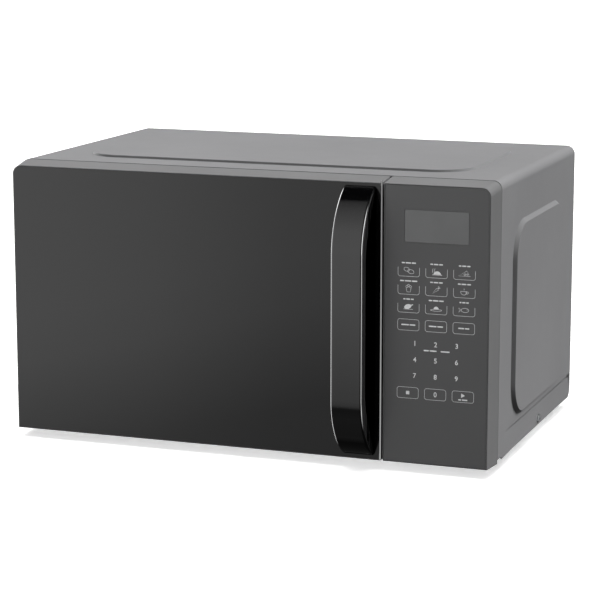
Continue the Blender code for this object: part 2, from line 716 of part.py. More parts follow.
def make_door_frame():
    low = (-HALF_WIDTH, FACE_Y, FACE_BOTTOM)
    high = (DOOR_RIGHT, DOOR_BACK_Y, BODY_TOP)
    frame = part("door_frame", bezel(low, high, FACE_TAPER, 0.0, door_corner), "black_plastic")
    round_x = -HALF_WIDTH + BACK_CORNER
    round_y = DOOR_BACK_Y - BACK_CORNER
    corner = box((-HALF_WIDTH - SHEET, round_y, 0), (round_x, DOOR_BACK_Y + SHEET, BODY_TOP + SHEET))
    corner_tool = cut(frame, corner, "back_corner")
    rod = cylinder((round_x, round_y, -SHEET), (round_x, round_y, BODY_TOP + 2 * SHEET), BACK_CORNER)
    cut(corner_tool, rod, "round")
    pocket = box((-0.2190, DOOR_WALL_Y, 0.0113), (0.1241, DOOR_BACK_Y + SHEET, 0.2485))
    cut(frame, pocket, "pocket")
    glass_x = (-HALF_WIDTH + FACE_TAPER + FACE_LIP, DOOR_RIGHT - FACE_LIP)
    glass_z = (FACE_BOTTOM + FACE_LIP, BODY_TOP - FACE_TAPER - FACE_LIP)
    glass_rear = FACE_Y + GLASS_THICK
    hollow = slab((glass_x[0], FACE_Y - SHEET, glass_z[0]),
                  (glass_x[1], glass_rear + GAP, glass_z[1]), 1,
                  CORNER_RADIUS - FACE_LIP, 6, door_corner)
    cut(frame, hollow, "glass_recess")
    cut(frame, box((-0.1900, FACE_Y - SHEET, 0.042), (0.0860, DOOR_BACK_Y, 0.220)), "window")
    cut(frame, hinge_notches(), "hinge_notches")
    merge(frame, box((0.1160, DOOR_WALL_Y - SHEET, 0.2262), (0.1246, -0.1172, 0.2282)), "spring_stop")

    glass = slab((glass_x[0] + GAP, FACE_Y, glass_z[0] + GAP),
                 (glass_x[1] - GAP, glass_rear, glass_z[1] - GAP), 1,
                 CORNER_RADIUS - FACE_LIP - GAP, 6, door_corner)
    return frame, part("door_glass", glass, "dark_glass")


def make_choke():
    """The steel pan at the door's back: a channel round the window, with the hinge ears."""
    front = DOOR_WALL_Y + GAP + 0.0004
    back = -0.1090
    choke_z = (0.0140, 0.2465)
    pan = box((CHOKE_LEFT, front, choke_z[0]), (CHOKE_RIGHT, back, choke_z[1]))
    choke = part("door_choke", pan, "zinc_steel")
    channel = box((CHOKE_LEFT + SHEET, front + SHEET, choke_z[0] + SHEET),
                  (CHOKE_RIGHT - SHEET, back + SHEET, choke_z[1] - SHEET))
    channel_tool = cut(choke, channel, "channel")
    core_low = (WINDOW_LEFT - SHEET, front - SHEET, WINDOW_LOW - SHEET)
    core_high = (WINDOW_RIGHT + SHEET, back + 2 * SHEET, WINDOW_HIGH + SHEET)
    cut(channel_tool, box(core_low, core_high), "core")
    opening = box((WINDOW_LEFT, front - SHEET, WINDOW_LOW), (WINDOW_RIGHT, back + SHEET, WINDOW_HIGH))
    cut(choke, opening, "window")
    ears = bmesh.new()
    pins = bmesh.new()
    ear = 0.0038
    for low, high in HINGE_EAR_Z.values():
        add_box(ears, (HINGE_X - ear, HINGE_Y - ear, low), (CHOKE_LEFT + SHEET / 2, HINGE_Y + ear, high))
        pin_low = (HINGE_X, HINGE_Y, low - SHEET)
        pin_high = (HINGE_X, HINGE_Y, high + SHEET)
        add_cylinder(pins, pin_low, pin_high, HINGE_PIN + 0.0004, sides=20)
    merge(choke, ears, "hinge_ears")
    cut(choke, pins, "pin_holes")

    screen_y = front + 0.0010
    screen = box((WINDOW_LEFT + GAP, screen_y, WINDOW_LOW + GAP),
                 (WINDOW_RIGHT - GAP, screen_y + 0.0006, WINDOW_HIGH - GAP))
    film = box((WINDOW_LEFT + GAP, screen_y + 0.0012, WINDOW_LOW + GAP),
               (WINDOW_RIGHT - GAP, screen_y + 0.0024, WINDOW_HIGH - GAP))
    seal_y = (back + GAP, -0.1070)
    seal = slab((CHOKE_LEFT, seal_y[0], 0.0135), (CHOKE_RIGHT, seal_y[1], 0.2470), 1, 0.004, 3)
    cover = part("door_inner_cover", seal, "grey_plastic")
    cut(cover, slab((WINDOW_LEFT, seal_y[0] - SHEET, WINDOW_LOW),
                    (WINDOW_RIGHT, seal_y[1] + SHEET, WINDOW_HIGH), 1, 0.003, 3), "window")
    return [
        choke,
        cover,
        part("door_screen", screen, "lamination"),
        part("door_inner_film", film, "clear_glass"),
    ]


HANDLE_X = (0.0935, 0.1200)
HANDLE_Z = (0.0125, 0.2485)
HANDLE_THICK = 0.011
HANDLE_LEG = 0.020


def arch(distance, reach, run):
    """How far an arched bar stands out, at a distance from its end."""
    part_way = min(max(distance / run, 0.0), 1.0)
    return reach * (1 - (1 - part_way) ** 2) ** 0.75


def make_handle():
    """An arched bar: a closed side outline pushed across the handle's width."""
    foot_y = FACE_Y - GAP
    outer_run = 0.055
    inner_run = 0.042
    steps = 12
    fractions = [(index / steps) ** 1.5 for index in range(steps + 1)]

    def rise(start, sign, run, reach):
        return [(foot_y - arch(run * t, reach, run), start + sign * run * t) for t in fractions]

    outer = rise(HANDLE_Z[0], 1, outer_run, HANDLE_REACH - GAP)
    outer += reversed(rise(HANDLE_Z[1], -1, outer_run, HANDLE_REACH - GAP))
    inner_reach = HANDLE_REACH - GAP - HANDLE_THICK
    inner = rise(HANDLE_Z[1] - HANDLE_LEG, -1, inner_run, inner_reach)
    inner += reversed(rise(HANDLE_Z[0] + HANDLE_LEG, 1, inner_run, inner_reach))
    shape = bmesh.new()
    ring_verts = [shape.verts.new((HANDLE_X[0], y, z)) for y, z in outer + inner]
    side = shape.faces.new(ring_verts)
    pushed = bmesh.ops.extrude_face_region(shape, geom=[side])["geom"]
    moved = [item for item in pushed if isinstance(item, bmesh.types.BMVert)]
    bmesh.ops.translate(shape, verts=moved, vec=(HANDLE_X[1] - HANDLE_X[0], 0, 0))
    bmesh.ops.recalc_face_normals(shape, faces=shape.faces)
    handle = part("handle", shape, "gloss_black")
    soften = handle.modifiers.new("soften", "BEVEL")
    soften.width = 0.0016
    soften.segments = 2
    soften.limit_method = "ANGLE"
    soften.angle_limit = math.radians(60)
    return handle


def make_latch():
    """The two-hooked latch bar, which lifts against its spring as the door is pulled."""
    bar = box((0.1165, -0.1225, 0.060), (0.1235, -0.1190, 0.205))
    latch = part("latch", bar, "white_plastic")
    hooks = bmesh.new()
    for low, high in HOOK_Z.values():
        verts = add_box(hooks, (HOOK_X[0], -0.1200, low), (HOOK_X[1], HOOK_TIP_Y, high))
        round_edges(hooks, verts, 0, 0.0008, 1)
    merge(latch, hooks, "arms")
    tips = bmesh.new()
    for low, _ in HOOK_Z.values():
        tip_low = (HOOK_X[0], HOOK_TIP_Y - 0.005, low - HOOK_DROP)
        add_box(tips, tip_low, (HOOK_X[1], HOOK_TIP_Y, low + 0.003))
    merge(latch, tips, "tips")
    return latch


def make_latch_spring():
    """A compression coil above the latch bar, as one wire with filled ends."""
    turns = 4
    per_turn = 9
    wire = 0.00035
    coil_radius = 0.0026
    low = 0.2050 + 2 * wire + GAP
    high = 0.2262 - 2 * wire - GAP
    count = turns * per_turn + 1
    curve = bpy.data.curves.new("latch_spring", "CURVE")
    curve.dimensions = "3D"
    curve.bevel_depth = wire
    curve.bevel_resolution = 2
    curve.use_fill_caps = True
    spline = curve.splines.new("POLY")
    spline.points.add(count - 1)
    for index, point in enumerate(spline.points):
        angle = 2 * math.pi * index / per_turn
        height = low + (high - low) * index / (count - 1)
        x = 0.1200 + coil_radius * math.cos(angle)
        y = -0.1205 + coil_radius * math.sin(angle)
        point.co = (x, y, height, 1.0)
    spring = bpy.data.objects.new("latch_spring", curve)
    curve.materials.append(MATERIALS["spring_steel"])
    PARTS.objects.link(spring)
    return spring


def make_hinges():
    """Arms fixed behind the front plate, each with the pin that the door turns on."""
    width = 0.0030
    foot_height = 0.0150
    pin_length = 0.0066
    plate_rear = FRONT_PLATE_Y + FRONT_PLATE_THICK
    for key, sign in (("upper", -1), ("lower", 1)):
        low, high = HINGE_ARM_Z[key]
        arm = box((HINGE_X - width, HINGE_Y, low), (HINGE_X + width, plate_rear + 0.0018, high))
        hinge = part(f"{key}_hinge", arm, "zinc_steel")
        nose = cylinder((HINGE_X, HINGE_Y, low), (HINGE_X, HINGE_Y, high), width, sides=24)
        merge(hinge, nose, "nose")
        middle = (low + high) / 2
        pin_z = sorted((middle, middle + sign * pin_length))
        pin = cylinder((HINGE_X, HINGE_Y, pin_z[0]), (HINGE_X, HINGE_Y, pin_z[1]), HINGE_PIN, sides=20)
        merge(hinge, pin, "pin")
        foot_z = (high - foot_height, high) if sign < 0 else (low, low + foot_height)
        foot_low = (HINGE_X - 0.0037, plate_rear + GAP, foot_z[0])
        merge(hinge, box(foot_low, (HINGE_X + 0.0145, plate_rear + 0.0018, foot_z[1])), "foot")


def make_door():
    frame, glass = make_door_frame()
    pieces = [frame, glass, make_handle()] + make_choke()
    latch = make_latch()
    spring = make_latch_spring()
    make_hinges()
    hinge_axis = axis_empty("door_hinge_axis", (HINGE_X, HINGE_Y, 0.13))
    latch_guide = axis_empty("latch_guide", (0.120, -0.1205, 0.13), hinge_axis)
    for piece in pieces:
        hang(piece, hinge_axis)
    hang(latch, latch_guide)
    hang(spring, latch_guide)


# Door switches

def make_switches():
    """The bracket behind the front plate, three switches and their sprung buttons."""
    flange_y = (FRONT_PLATE_Y + FRONT_PLATE_THICK + GAP, -0.1020)
    bracket_z = (0.036, 0.212)
    flange = box((0.1060, flange_y[0], bracket_z[0]), (0.1275, flange_y[1], bracket_z[1]))
    bracket = part("interlock_bracket", flange, "grey_plastic")
    merge(bracket, box((0.1255, -0.1030, bracket_z[0]), (0.1275, -0.0680, bracket_z[1])), "wall")
    holes = bmesh.new()
    for low, high in HOOK_Z.values():
        add_box(holes, (0.1160, -0.1100, low - 0.008), (0.1250, -0.1000, high + 0.006))
    cut(bracket, holes, "hook_slots")
    body_y = -0.0840
    button = (0.0030, 0.0040, 0.0030)
    body_x = 0.1249
    button_x = (HOOK_X[0] + HOOK_X[1]) / 2
    hook_room = 0.0005
    for name, low in SWITCH_Z.items():
        size = SWITCH_SIZE
        body = box((body_x - size[0], body_y, low), (body_x, body_y + size[1], low + size[2]))
        switch = part(name, body, "black_plastic")
        z = BUTTON_Z[name]
        well = box((button_x - button[0] / 2 - GAP, body_y - SHEET, z - button[2] / 2 - GAP),
                   (button_x + button[0] / 2 + GAP, body_y + 0.0030, z + button[2] / 2 + GAP))
        cut(switch, well, "button_well")
        blades = bmesh.new()
        for offset in (0.006, 0.014, 0.022):
            add_box(blades, (body_x - 0.006, body_y + size[1] - SHEET, low + offset),
                    (body_x - 0.0055, body_y + size[1] + 0.006, low + offset + 0.004))
        merge(switch, blades, "terminals")
        front = HOOK_TIP_Y + hook_room
        plunger = box((-button[0] / 2, 0, -button[2] / 2), (button[0] / 2, button[1], button[2] / 2))
        at = (button_x, front, z)
        pushed = part(name.replace("_switch", "_switch_button"), plunger, "white_plastic", at)
        hang(pushed, axis_empty(f"{name}_axis", at))


# Turntable

def make_turntable():
    motor_low = BODY_BOTTOM + 2 * SHEET + GAP
    motor_high = CAVITY_FLOOR - SHEET - GAP - 0.0007
    can = cylinder((TURN_X, TURN_Y, motor_low), (TURN_X, TURN_Y, motor_high), 0.0245, sides=40)
    motor = part("turntable_motor", can, "zinc_steel")
    shaft_top = CAVITY_FLOOR + 0.0080
    shaft_low = (TURN_X, TURN_Y, motor_high - SHEET)
    merge(motor, cylinder(shaft_low, (TURN_X, TURN_Y, shaft_top), 0.0030, sides=20), "shaft")

    spin_axis = axis_empty("turntable_axis", (TURN_X, TURN_Y, CAVITY_FLOOR))
    coupler_top = TRAY_Z - 0.0014
    lobe_z = (0.0375, coupler_top)
    hub = cylinder((0, 0, 0.0318), (0, 0, coupler_top), 0.0085, sides=24)
    coupler = part("turntable_coupler", hub, "white_plastic", (TURN_X, TURN_Y, 0))
    lobes = bmesh.new()
    for index in range(3):
        verts = add_box(lobes, (0.004, -0.0025, lobe_z[0]), (0.0160, 0.0025, lobe_z[1]))
        bmesh.ops.rotate(lobes, verts=verts, matrix=Matrix.Rotation(math.radians(120 * index), 3, "Z"))
    merge(coupler, lobes, "lobes")
    cut(coupler, cylinder((0, 0, 0.030), (0, 0, shaft_top + 0.001), 0.0034, sides=20), "bore")
    hang(coupler, spin_axis)

    top = TRAY_Z + 0.0040
    outline = [
        (0.0, top), (0.1040, top), (0.1090, top + 0.0010), (0.1180, top + 0.0085), (0.1205, top + 0.0095),
        (TRAY_RADIUS, top + 0.0090), (TRAY_RADIUS, top + 0.0070), (0.1200, top + 0.0055),
        (0.1105, TRAY_Z + 0.0010), (0.1050, TRAY_Z), (0.0, TRAY_Z),
    ]
    tray = turned("glass_tray", outline, "clear_glass")
    tray.location = (TURN_X, TURN_Y, 0)
    lugs = bmesh.new()
    for index in range(3):
        angle = math.radians(120 * index + 32)
        x = 0.0130 * math.cos(angle)
        y = 0.0130 * math.sin(angle)
        add_cylinder(lugs, (x, y, TRAY_Z - 0.0045), (x, y, TRAY_Z + 0.001), 0.0020, sides=14)
    merge(tray, lugs, "lugs")
    hang(tray, axis_empty("tray_lift", (TURN_X, TURN_Y, TRAY_Z), spin_axis))

    ring_axis = axis_empty("roller_ring_axis", (TURN_X, TURN_Y, CAVITY_FLOOR))
    half_height = 0.0027
    band_outer = 0.0840
    band_wall = 0.0040
    band = cylinder((0, 0, WHEEL_Z - half_height), (0, 0, WHEEL_Z + half_height), band_outer, sides=60)
    ring_part = part("roller_ring", band, "white_plastic", (TURN_X, TURN_Y, 0))
    cut(ring_part, cylinder((0, 0, 0), (0, 0, 0.1), band_outer - band_wall, sides=60), "middle")
    stubs = bmesh.new()
    wheel_half = 0.0025
    for index in range(3):
        angle = math.radians(120 * index + 90)
        out = Vector((math.cos(angle), math.sin(angle), 0))
        start = out * (band_outer - 0.002) + Vector((0, 0, WHEEL_Z))
        end = out * (WHEEL_RING_RADIUS + wheel_half + 0.001) + Vector((0, 0, WHEEL_Z))
        add_cylinder(stubs, start, end, 0.0015, sides=16)
        centre = Vector((TURN_X, TURN_Y, WHEEL_Z)) + out * WHEEL_RING_RADIUS
        wheel_shape = cylinder(-out * wheel_half, out * wheel_half, WHEEL_RADIUS, sides=32)
        wheel = part(f"roller_{index + 1}", wheel_shape, "white_plastic", centre)
        cut(wheel, cylinder(-out * 0.01, out * 0.01, 0.0019, sides=16), "bore")
        hang(wheel, axis_empty(f"roller_{index + 1}_axis", centre, ring_axis))
    merge(ring_part, stubs, "axle_stubs")
    hang(ring_part, ring_axis)


make_cover()
make_screws()
make_base()
make_back()
make_front_plate()
make_cavity()
make_waveguide()
make_magnetron()
make_transformer()
make_capacitor()
make_fan()
make_lamp()
make_boards()
make_keypad_panel()
make_door()
make_switches()
make_turntable()
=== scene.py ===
import json
import math

import bmesh
import bpy
from mathutils import Matrix, Vector


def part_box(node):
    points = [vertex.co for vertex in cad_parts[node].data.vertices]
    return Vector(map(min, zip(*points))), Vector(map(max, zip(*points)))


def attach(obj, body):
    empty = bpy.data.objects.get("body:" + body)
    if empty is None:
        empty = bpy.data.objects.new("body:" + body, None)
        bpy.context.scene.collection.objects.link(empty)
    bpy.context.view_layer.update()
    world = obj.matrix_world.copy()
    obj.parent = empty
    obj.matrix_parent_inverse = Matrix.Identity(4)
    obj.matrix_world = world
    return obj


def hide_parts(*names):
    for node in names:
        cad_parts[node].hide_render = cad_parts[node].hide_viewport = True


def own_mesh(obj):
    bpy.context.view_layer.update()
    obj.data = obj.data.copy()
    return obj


# Looks for a countertop microwave oven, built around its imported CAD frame. Metres, +Z up.

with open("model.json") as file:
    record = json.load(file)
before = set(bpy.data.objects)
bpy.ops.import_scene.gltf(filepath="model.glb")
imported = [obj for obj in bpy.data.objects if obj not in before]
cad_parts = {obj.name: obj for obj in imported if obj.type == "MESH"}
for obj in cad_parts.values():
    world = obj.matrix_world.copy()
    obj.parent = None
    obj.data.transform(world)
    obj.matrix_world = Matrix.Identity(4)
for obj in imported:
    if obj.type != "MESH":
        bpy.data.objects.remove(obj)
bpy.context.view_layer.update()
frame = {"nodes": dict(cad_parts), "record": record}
NODES = frame["nodes"]
SCENE = bpy.context.scene

# Sizes read from the frame
DOOR_LOW, DOOR_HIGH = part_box("door_frame")
COVER_LOW, COVER_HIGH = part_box("outer_cover")
GLASS_LOW, GLASS_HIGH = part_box("door_glass")
HANDLE_LOW, HANDLE_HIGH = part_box("handle")
BODY_TOP = DOOR_HIGH.z
FACE_Y = DOOR_LOW.y

# Edges that turn by more than this are bevelled, and shaded sharp
SHARP_ANGLE = math.radians(32)

# The cover's flat sheet, which starts a little further back on the top than on the sides
HALF_WIDTH = 0.225
CORNER = 0.008
SHEET = 0.001
COVER_FRONT = COVER_LOW.y
TOP_FRONT = COVER_FRONT + 0.0018
# Its pressed-out panels, from low to high corner in (x, y) on the top and (y, z) on the sides
TOP_PANEL = ((-0.183, -0.070), (0.183, 0.114))
SIDE_PANEL = ((-0.066, 0.0372), (0.114, 0.2125))
PANEL_RADIUS = 0.034
TOP_PRESS = 0.0020
SIDE_PRESS = 0.0034
# The strip along each foot, sunk under a crease at this height
CREASE = 0.0318
FOOT_SINK = 0.0006
# Its rear edge: the bend, the depth of the flange and the round lower corner
REAR_BEND = 0.0025
REAR_FLANGE = 0.012
REAR_FOOT = 0.009

# The handle: its thickness, the height of its legs, and the length of its outer and inner arcs
HANDLE_THICK = 0.011
HANDLE_LEG = 0.020
OUTER_RUN = 0.055
INNER_RUN = 0.042

# The keypad print: its plane, and then its keys and lines in millimetres
INK_Y = FACE_Y - 0.00004
KEY_LINE = 0.28
ICON_LINE = 0.32
KEY_WIDTH = 19.0
KEY_COLUMNS = (150.9, 175.4, 199.9)
COOK_ROWS = (176.2, 160.7, 145.0)
COOK_HEIGHT = 7.8
CAPTION_RISE = 7.7
WIDE_ROW = 130.45
FOOT_ROW = 71.2
WIDE_HEIGHT = 9.6
DIGIT_COLUMNS = (156.9, 175.3, 193.9)
DIGIT_ROWS = (114.7, 100.6, 86.5)
DIGIT_HEIGHT = 4.3


# Materials

class Tree:
    """A node tree, with helpers that each add a node and return its output."""

    def __init__(self, tree, coords):
        self.tree = tree
        self.coords = self.add("ShaderNodeTexCoord").outputs[coords]

    def add(self, kind, **settings):
        node = self.tree.nodes.new(kind)
        for key, value in settings.items():
            setattr(node, key, value)
        return node

    def link(self, start, end):
        self.tree.links.new(start, end)

    def feed(self, socket, value):
        """Links an output to a socket, or sets the socket to a number."""
        if isinstance(value, bpy.types.NodeSocket):
            self.link(value, socket)
        else:
            socket.default_value = value

    def math(self, operation, first, second=0.0):
        node = self.add("ShaderNodeMath", operation=operation)
        self.feed(node.inputs[0], first)
        self.feed(node.inputs[1], second)
        return node.outputs["Value"]

    def spread(self, source, low, high, at=(0.3, 0.7)):
        """Maps the source's range at[0] to at[1] onto low to high, and stops there."""
        node = self.add("ShaderNodeMapRange")
        for socket, value in zip(("From Min", "From Max", "To Min", "To Max"), (*at, low, high)):
            node.inputs[socket].default_value = value
        self.link(source, node.inputs["Value"])
        return node.outputs["Result"]

    def blend(self, share, first, second):
        """The first value at a share of 0, and the second at 1."""
        node = self.add("ShaderNodeMix")
        for index, value in ((0, share), (2, first), (3, second)):
            self.feed(node.inputs[index], value)
        return node.outputs[0]

    def steps(self, source, colours, places):
        """A colour ramp, with one colour at each place from 0 to 1."""
        node = self.add("ShaderNodeValToRGB")
        elements = node.color_ramp.elements
        while len(elements) < len(places):
            elements.new(0.5)
        for element, place, colour in zip(elements, places, colours):
            element.position = place
            element.color = (*colour, 1.0)
        self.link(source, node.inputs["Fac"])
        return node.outputs["Color"]


class Shader(Tree):
    """A node material: a Principled shader with helpers that feed its sockets."""

    def __init__(self, name, colour, roughness, metallic=0.0, **constants):
        self.material = bpy.data.materials.new(name)
        self.material.use_nodes = True
        super().__init__(self.material.node_tree, "Object")
        self.base = self.tree.nodes["Principled BSDF"]
        self.colour = colour
        self.roughness = roughness
        self.set("Base Color", (*colour, 1.0))
        self.set("Roughness", roughness)
        self.set("Metallic", metallic)
        for socket, value in constants.items():
            self.set(socket.replace("_", " "), value)

    def set(self, socket, value):
        self.base.inputs[socket].default_value = value

    def stretched(self, scale):
        """Object coordinates, scaled along each axis."""
        mapping = self.add("ShaderNodeMapping")
        mapping.inputs["Scale"].default_value = scale
        self.link(self.coords, mapping.inputs["Vector"])
        return mapping.outputs["Vector"]

    def noise(self, scale, detail=2.0, stretch=(1, 1, 1)):
        node = self.add("ShaderNodeTexNoise")
        node.inputs["Scale"].default_value = scale
        node.inputs["Detail"].default_value = detail
        self.link(self.stretched(stretch), node.inputs["Vector"])
        return node.outputs["Fac"]

    def cells(self, scale, output="Distance", feature="F1", randomness=1.0):
        node = self.add("ShaderNodeTexVoronoi", feature=feature)
        node.inputs["Scale"].default_value = scale
        node.inputs["Randomness"].default_value = randomness
        self.link(self.coords, node.inputs["Vector"])
        return node.outputs[output]

    def bands(self, pitch, axis):
        """Smooth stripes across one axis, one for each pitch."""
        node = self.add("ShaderNodeTexWave", wave_type="BANDS", bands_direction=axis)
        node.inputs["Scale"].default_value = math.pi / (10 * pitch)
        self.link(self.coords, node.inputs["Vector"])
        return node.outputs["Fac"]

    def tint(self, source, low, high, at=(0.35, 0.65)):
        """Colours the base from low to high as the source goes from at[0] to at[1]."""
        self.link(self.steps(source, (low, high), at), self.base.inputs["Base Color"])
        return self

    def mottle(self, source, amount, at=(0.35, 0.65)):
        """Lets the base colour drift up and down by a share of itself."""
        low = [value * (1 - amount) for value in self.colour]
        high = [min(value * (1 + amount), 1.0) for value in self.colour]
        return self.tint(source, low, high, at)

    def gloss(self, source, change, at=(0.3, 0.7)):
        """Lets the roughness drift up and down by an amount."""
        low = max(self.roughness - change, 0.0)
        self.link(self.spread(source, low, self.roughness + change, at), self.base.inputs["Roughness"])
        return self

    def relief(self, source, depth):
        """Bumps the surface by a depth in metres."""
        node = self.add("ShaderNodeBump")
        node.inputs["Strength"].default_value = 1.0
        node.inputs["Distance"].default_value = depth
        self.link(source, node.inputs["Height"])
        self.link(node.outputs["Normal"], self.base.inputs["Normal"])
        return self


def make_paint():
    """Satin powder coat: faint orange peel over a large-scale drift."""
    look = Shader("satin_paint", (0.108, 0.108, 0.110), 0.55, Specular_IOR_Level=0.06)
    look.mottle(look.noise(7.0, 3.0), 0.04)
    look.gloss(look.noise(60.0, 2.0), 0.008)
    return look.relief(look.noise(900.0, 1.0), 0.0000002).material


def make_bezel_plastic():
    """Dark moulded plastic with a fine grained skin."""
    look = Shader("bezel_plastic", (0.085, 0.085, 0.086), 0.50, Specular_IOR_Level=0.1)
    look.mottle(look.noise(11.0, 2.0), 0.04)
    look.gloss(look.noise(80.0, 2.0), 0.01)
    return look.relief(look.cells(1200.0), 0.0000003).material


def make_film():
    """Printed polycarbonate film with a fine matt texture."""
    look = Shader("keypad_film", (0.063, 0.063, 0.064), 0.36)
    look.mottle(look.noise(9.0, 2.0), 0.02)
    look.gloss(look.noise(90.0, 2.0), 0.015)
    return look.relief(look.noise(1500.0, 1.0), 0.0000002).material


def make_door_glass():
    look = Shader("black_glass", (0.0012, 0.0012, 0.0013), 0.02, IOR=1.60)
    look.mottle(look.noise(5.0, 2.0), 0.20)
    return look.gloss(look.noise(30.0, 4.0), 0.008).material


def make_handle_gloss():
    look = Shader("handle_gloss", (0.0006, 0.0006, 0.0007), 0.02, IOR=1.85)
    look.mottle(look.noise(12.0, 2.0), 0.15)
    return look.gloss(look.noise(55.0, 3.0), 0.008).material


def make_ink():
    look = Shader("keypad_ink", (0.62, 0.625, 0.63), 0.55)
    return look.mottle(look.noise(900.0, 2.0), 0.08).material


def make_display():
    """Smoked window over a blank liquid-crystal panel."""
    look = Shader("display_window", (0.105, 0.106, 0.107), 0.22)
    look.mottle(look.noise(40.0, 2.0), 0.03)
    return look.gloss(look.noise(300.0, 2.0), 0.03).material


def make_enamel():
    """Grey enamel with fine light specks and a slight orange peel."""
    look = Shader("cavity_enamel", (0.33, 0.33, 0.34), 0.22, Coat_Weight=0.3, Coat_Roughness=0.10)
    look.tint(look.cells(700.0), (0.46, 0.46, 0.47), (0.33, 0.33, 0.34), (0.10, 0.20))
    look.gloss(look.noise(40.0, 2.0), 0.03)
    return look.relief(look.noise(260.0, 1.0), 0.000002).material


def make_zinc():
    """Zinc-plated steel: crystal spangle and rolling marks."""
    look = Shader("zinc_steel", (0.44, 0.45, 0.46), 0.42, 1.0)
    look.mottle(look.cells(120.0, output="Color"), 0.14, (0.1, 0.9))
    look.gloss(look.noise(40.0, 4.0, (1, 1, 14)), 0.10)
    return look.relief(look.noise(220.0, 3.0, (1, 1, 20)), 0.000006).material


def make_spring_steel():
    look = Shader("spring_steel", (0.62, 0.61, 0.60), 0.24, 1.0)
    look.mottle(look.noise(500.0, 2.0), 0.10)
    return look.gloss(look.noise(900.0, 2.0, (1, 1, 6)), 0.08).material


def make_lamination():
    """Stacked steel sheets under varnish: fine lines across the stack."""
    look = Shader("lamination", (0.15, 0.135, 0.125), 0.50, 0.7)
    sheets = look.bands(0.0005, "X")
    look.mottle(sheets, 0.30, (0.1, 0.9))
    return look.relief(sheets, 0.00008).material


def make_copper():
    """Close-wound enamelled wire."""
    look = Shader("copper_winding", (0.60, 0.25, 0.11), 0.30, 1.0, Coat_Weight=0.5)
    turns = look.bands(0.0008, "Z")
    look.mottle(turns, 0.35, (0.0, 0.8))
    return look.relief(turns, 0.00025).material


def make_aluminium():
    look = Shader("aluminium", (0.74, 0.75, 0.76), 0.32, 1.0)
    look.mottle(look.noise(30.0, 3.0, (20, 1, 1)), 0.06)
    return look.gloss(look.noise(250.0, 3.0, (12, 1, 1)), 0.10).material


def make_mica():
    look = Shader("mica", (0.50, 0.42, 0.30), 0.42)
    look.mottle(look.cells(300.0, output="Color"), 0.22, (0.1, 0.9))
    return look.relief(look.noise(400.0, 4.0), 0.00004).material


def make_board():
    """Green solder mask over a maze of tracks."""
    look = Shader("circuit_board", (0.02, 0.14, 0.06), 0.34)
    tracks = look.cells(260.0, feature="DISTANCE_TO_EDGE", randomness=0.35)
    look.tint(tracks, (0.04, 0.24, 0.10), (0.015, 0.11, 0.05), (0.05, 0.09))
    return look.relief(tracks, 0.00004).material


def make_moulded(name, colour, roughness):
    """Moulded plastic: faint flow marks and a spark-eroded skin."""
    look = Shader(name, colour, roughness)
    look.mottle(look.noise(22.0, 3.0), 0.06)
    look.gloss(look.noise(300.0, 2.0), 0.05)
    return look.relief(look.noise(1500.0, 2.0), 0.00001).material


def make_rubber():
    look = Shader("foot_rubber", (0.018, 0.018, 0.018), 0.80)
    look.mottle(look.noise(120.0, 3.0), 0.25)
    return look.relief(look.noise(900.0, 3.0), 0.00003).material


def make_tray_glass():
    look = Shader("tray_glass", (0.93, 0.98, 0.96), 0.02, Transmission_Weight=1.0, IOR=1.5)
    return look.gloss(look.noise(25.0, 3.0), 0.012).material


def make_clear_film():
    look = Shader("clear_film", (0.80, 0.82, 0.82), 0.06, Transmission_Weight=1.0, IOR=1.3)
    return look.gloss(look.noise(60.0, 3.0), 0.03).material


def make_screen():
    """Black painted steel with a hexagonal field of round holes."""
    pitch = 0.0024
    look = Shader("perforated_screen", (0.045, 0.045, 0.047), 0.42, 0.3)
    split = look.add("ShaderNodeSeparateXYZ")
    look.link(look.coords, split.inputs["Vector"])

    def hole_distance(shift):
        """Distance to the nearest centre of one of the two square-cornered grids."""
        squares = []
        for axis, size in (("X", pitch), ("Z", pitch * math.sqrt(3))):
            moved = look.math("ADD", look.math("DIVIDE", split.outputs[axis], size), shift)
            away = look.math("SUBTRACT", look.math("FRACT", moved), 0.5)
            squares.append(look.math("POWER", look.math("MULTIPLY", away, size / pitch), 2.0))
        return look.math("SQRT", look.math("ADD", *squares))

    nearest = look.math("MINIMUM", hole_distance(0.0), hole_distance(0.5))
    look.tint(nearest, (0.001, 0.001, 0.001), look.colour, (0.30, 0.34))
    return look.relief(look.spread(nearest, 0.0, 1.0, (0.30, 0.38)), 0.0003).material


LOOKS = {
    "cover_paint": make_paint(),
    "panel_plastic": make_bezel_plastic(),
    "handle_gloss": make_handle_gloss(),
    "door_glass": make_door_glass(),
    "tray_glass": make_tray_glass(),
    "cavity_enamel": make_enamel(),
    "zinc_steel": make_zinc(),
    "screen_steel": make_screen(),
    "lamination": make_lamination(),
    "copper_winding": make_copper(),
    "aluminium": make_aluminium(),
    "mica": make_mica(),
    "circuit_board": make_board(),
    "white_plastic": make_moulded("white_plastic", (0.55, 0.545, 0.52), 0.42),
    "grey_plastic": make_moulded("grey_plastic", (0.075, 0.075, 0.078), 0.46),
    "black_plastic": make_moulded("black_plastic", (0.016, 0.016, 0.017), 0.38),
    "foot_rubber": make_rubber(),
    "spring_steel": make_spring_steel(),
    "display": make_display(),
    "film": make_film(),
    "ink": make_ink(),
    "clear_film": make_clear_film(),
}
# Nodes whose look isn't the one that their material slot names
NODE_LOOKS = {
    "key_overlay": "film",
    "door_inner_film": "clear_film",
    "upper_hinge": "cover_paint",
    "lower_hinge": "cover_paint",
}


# Mesh helpers

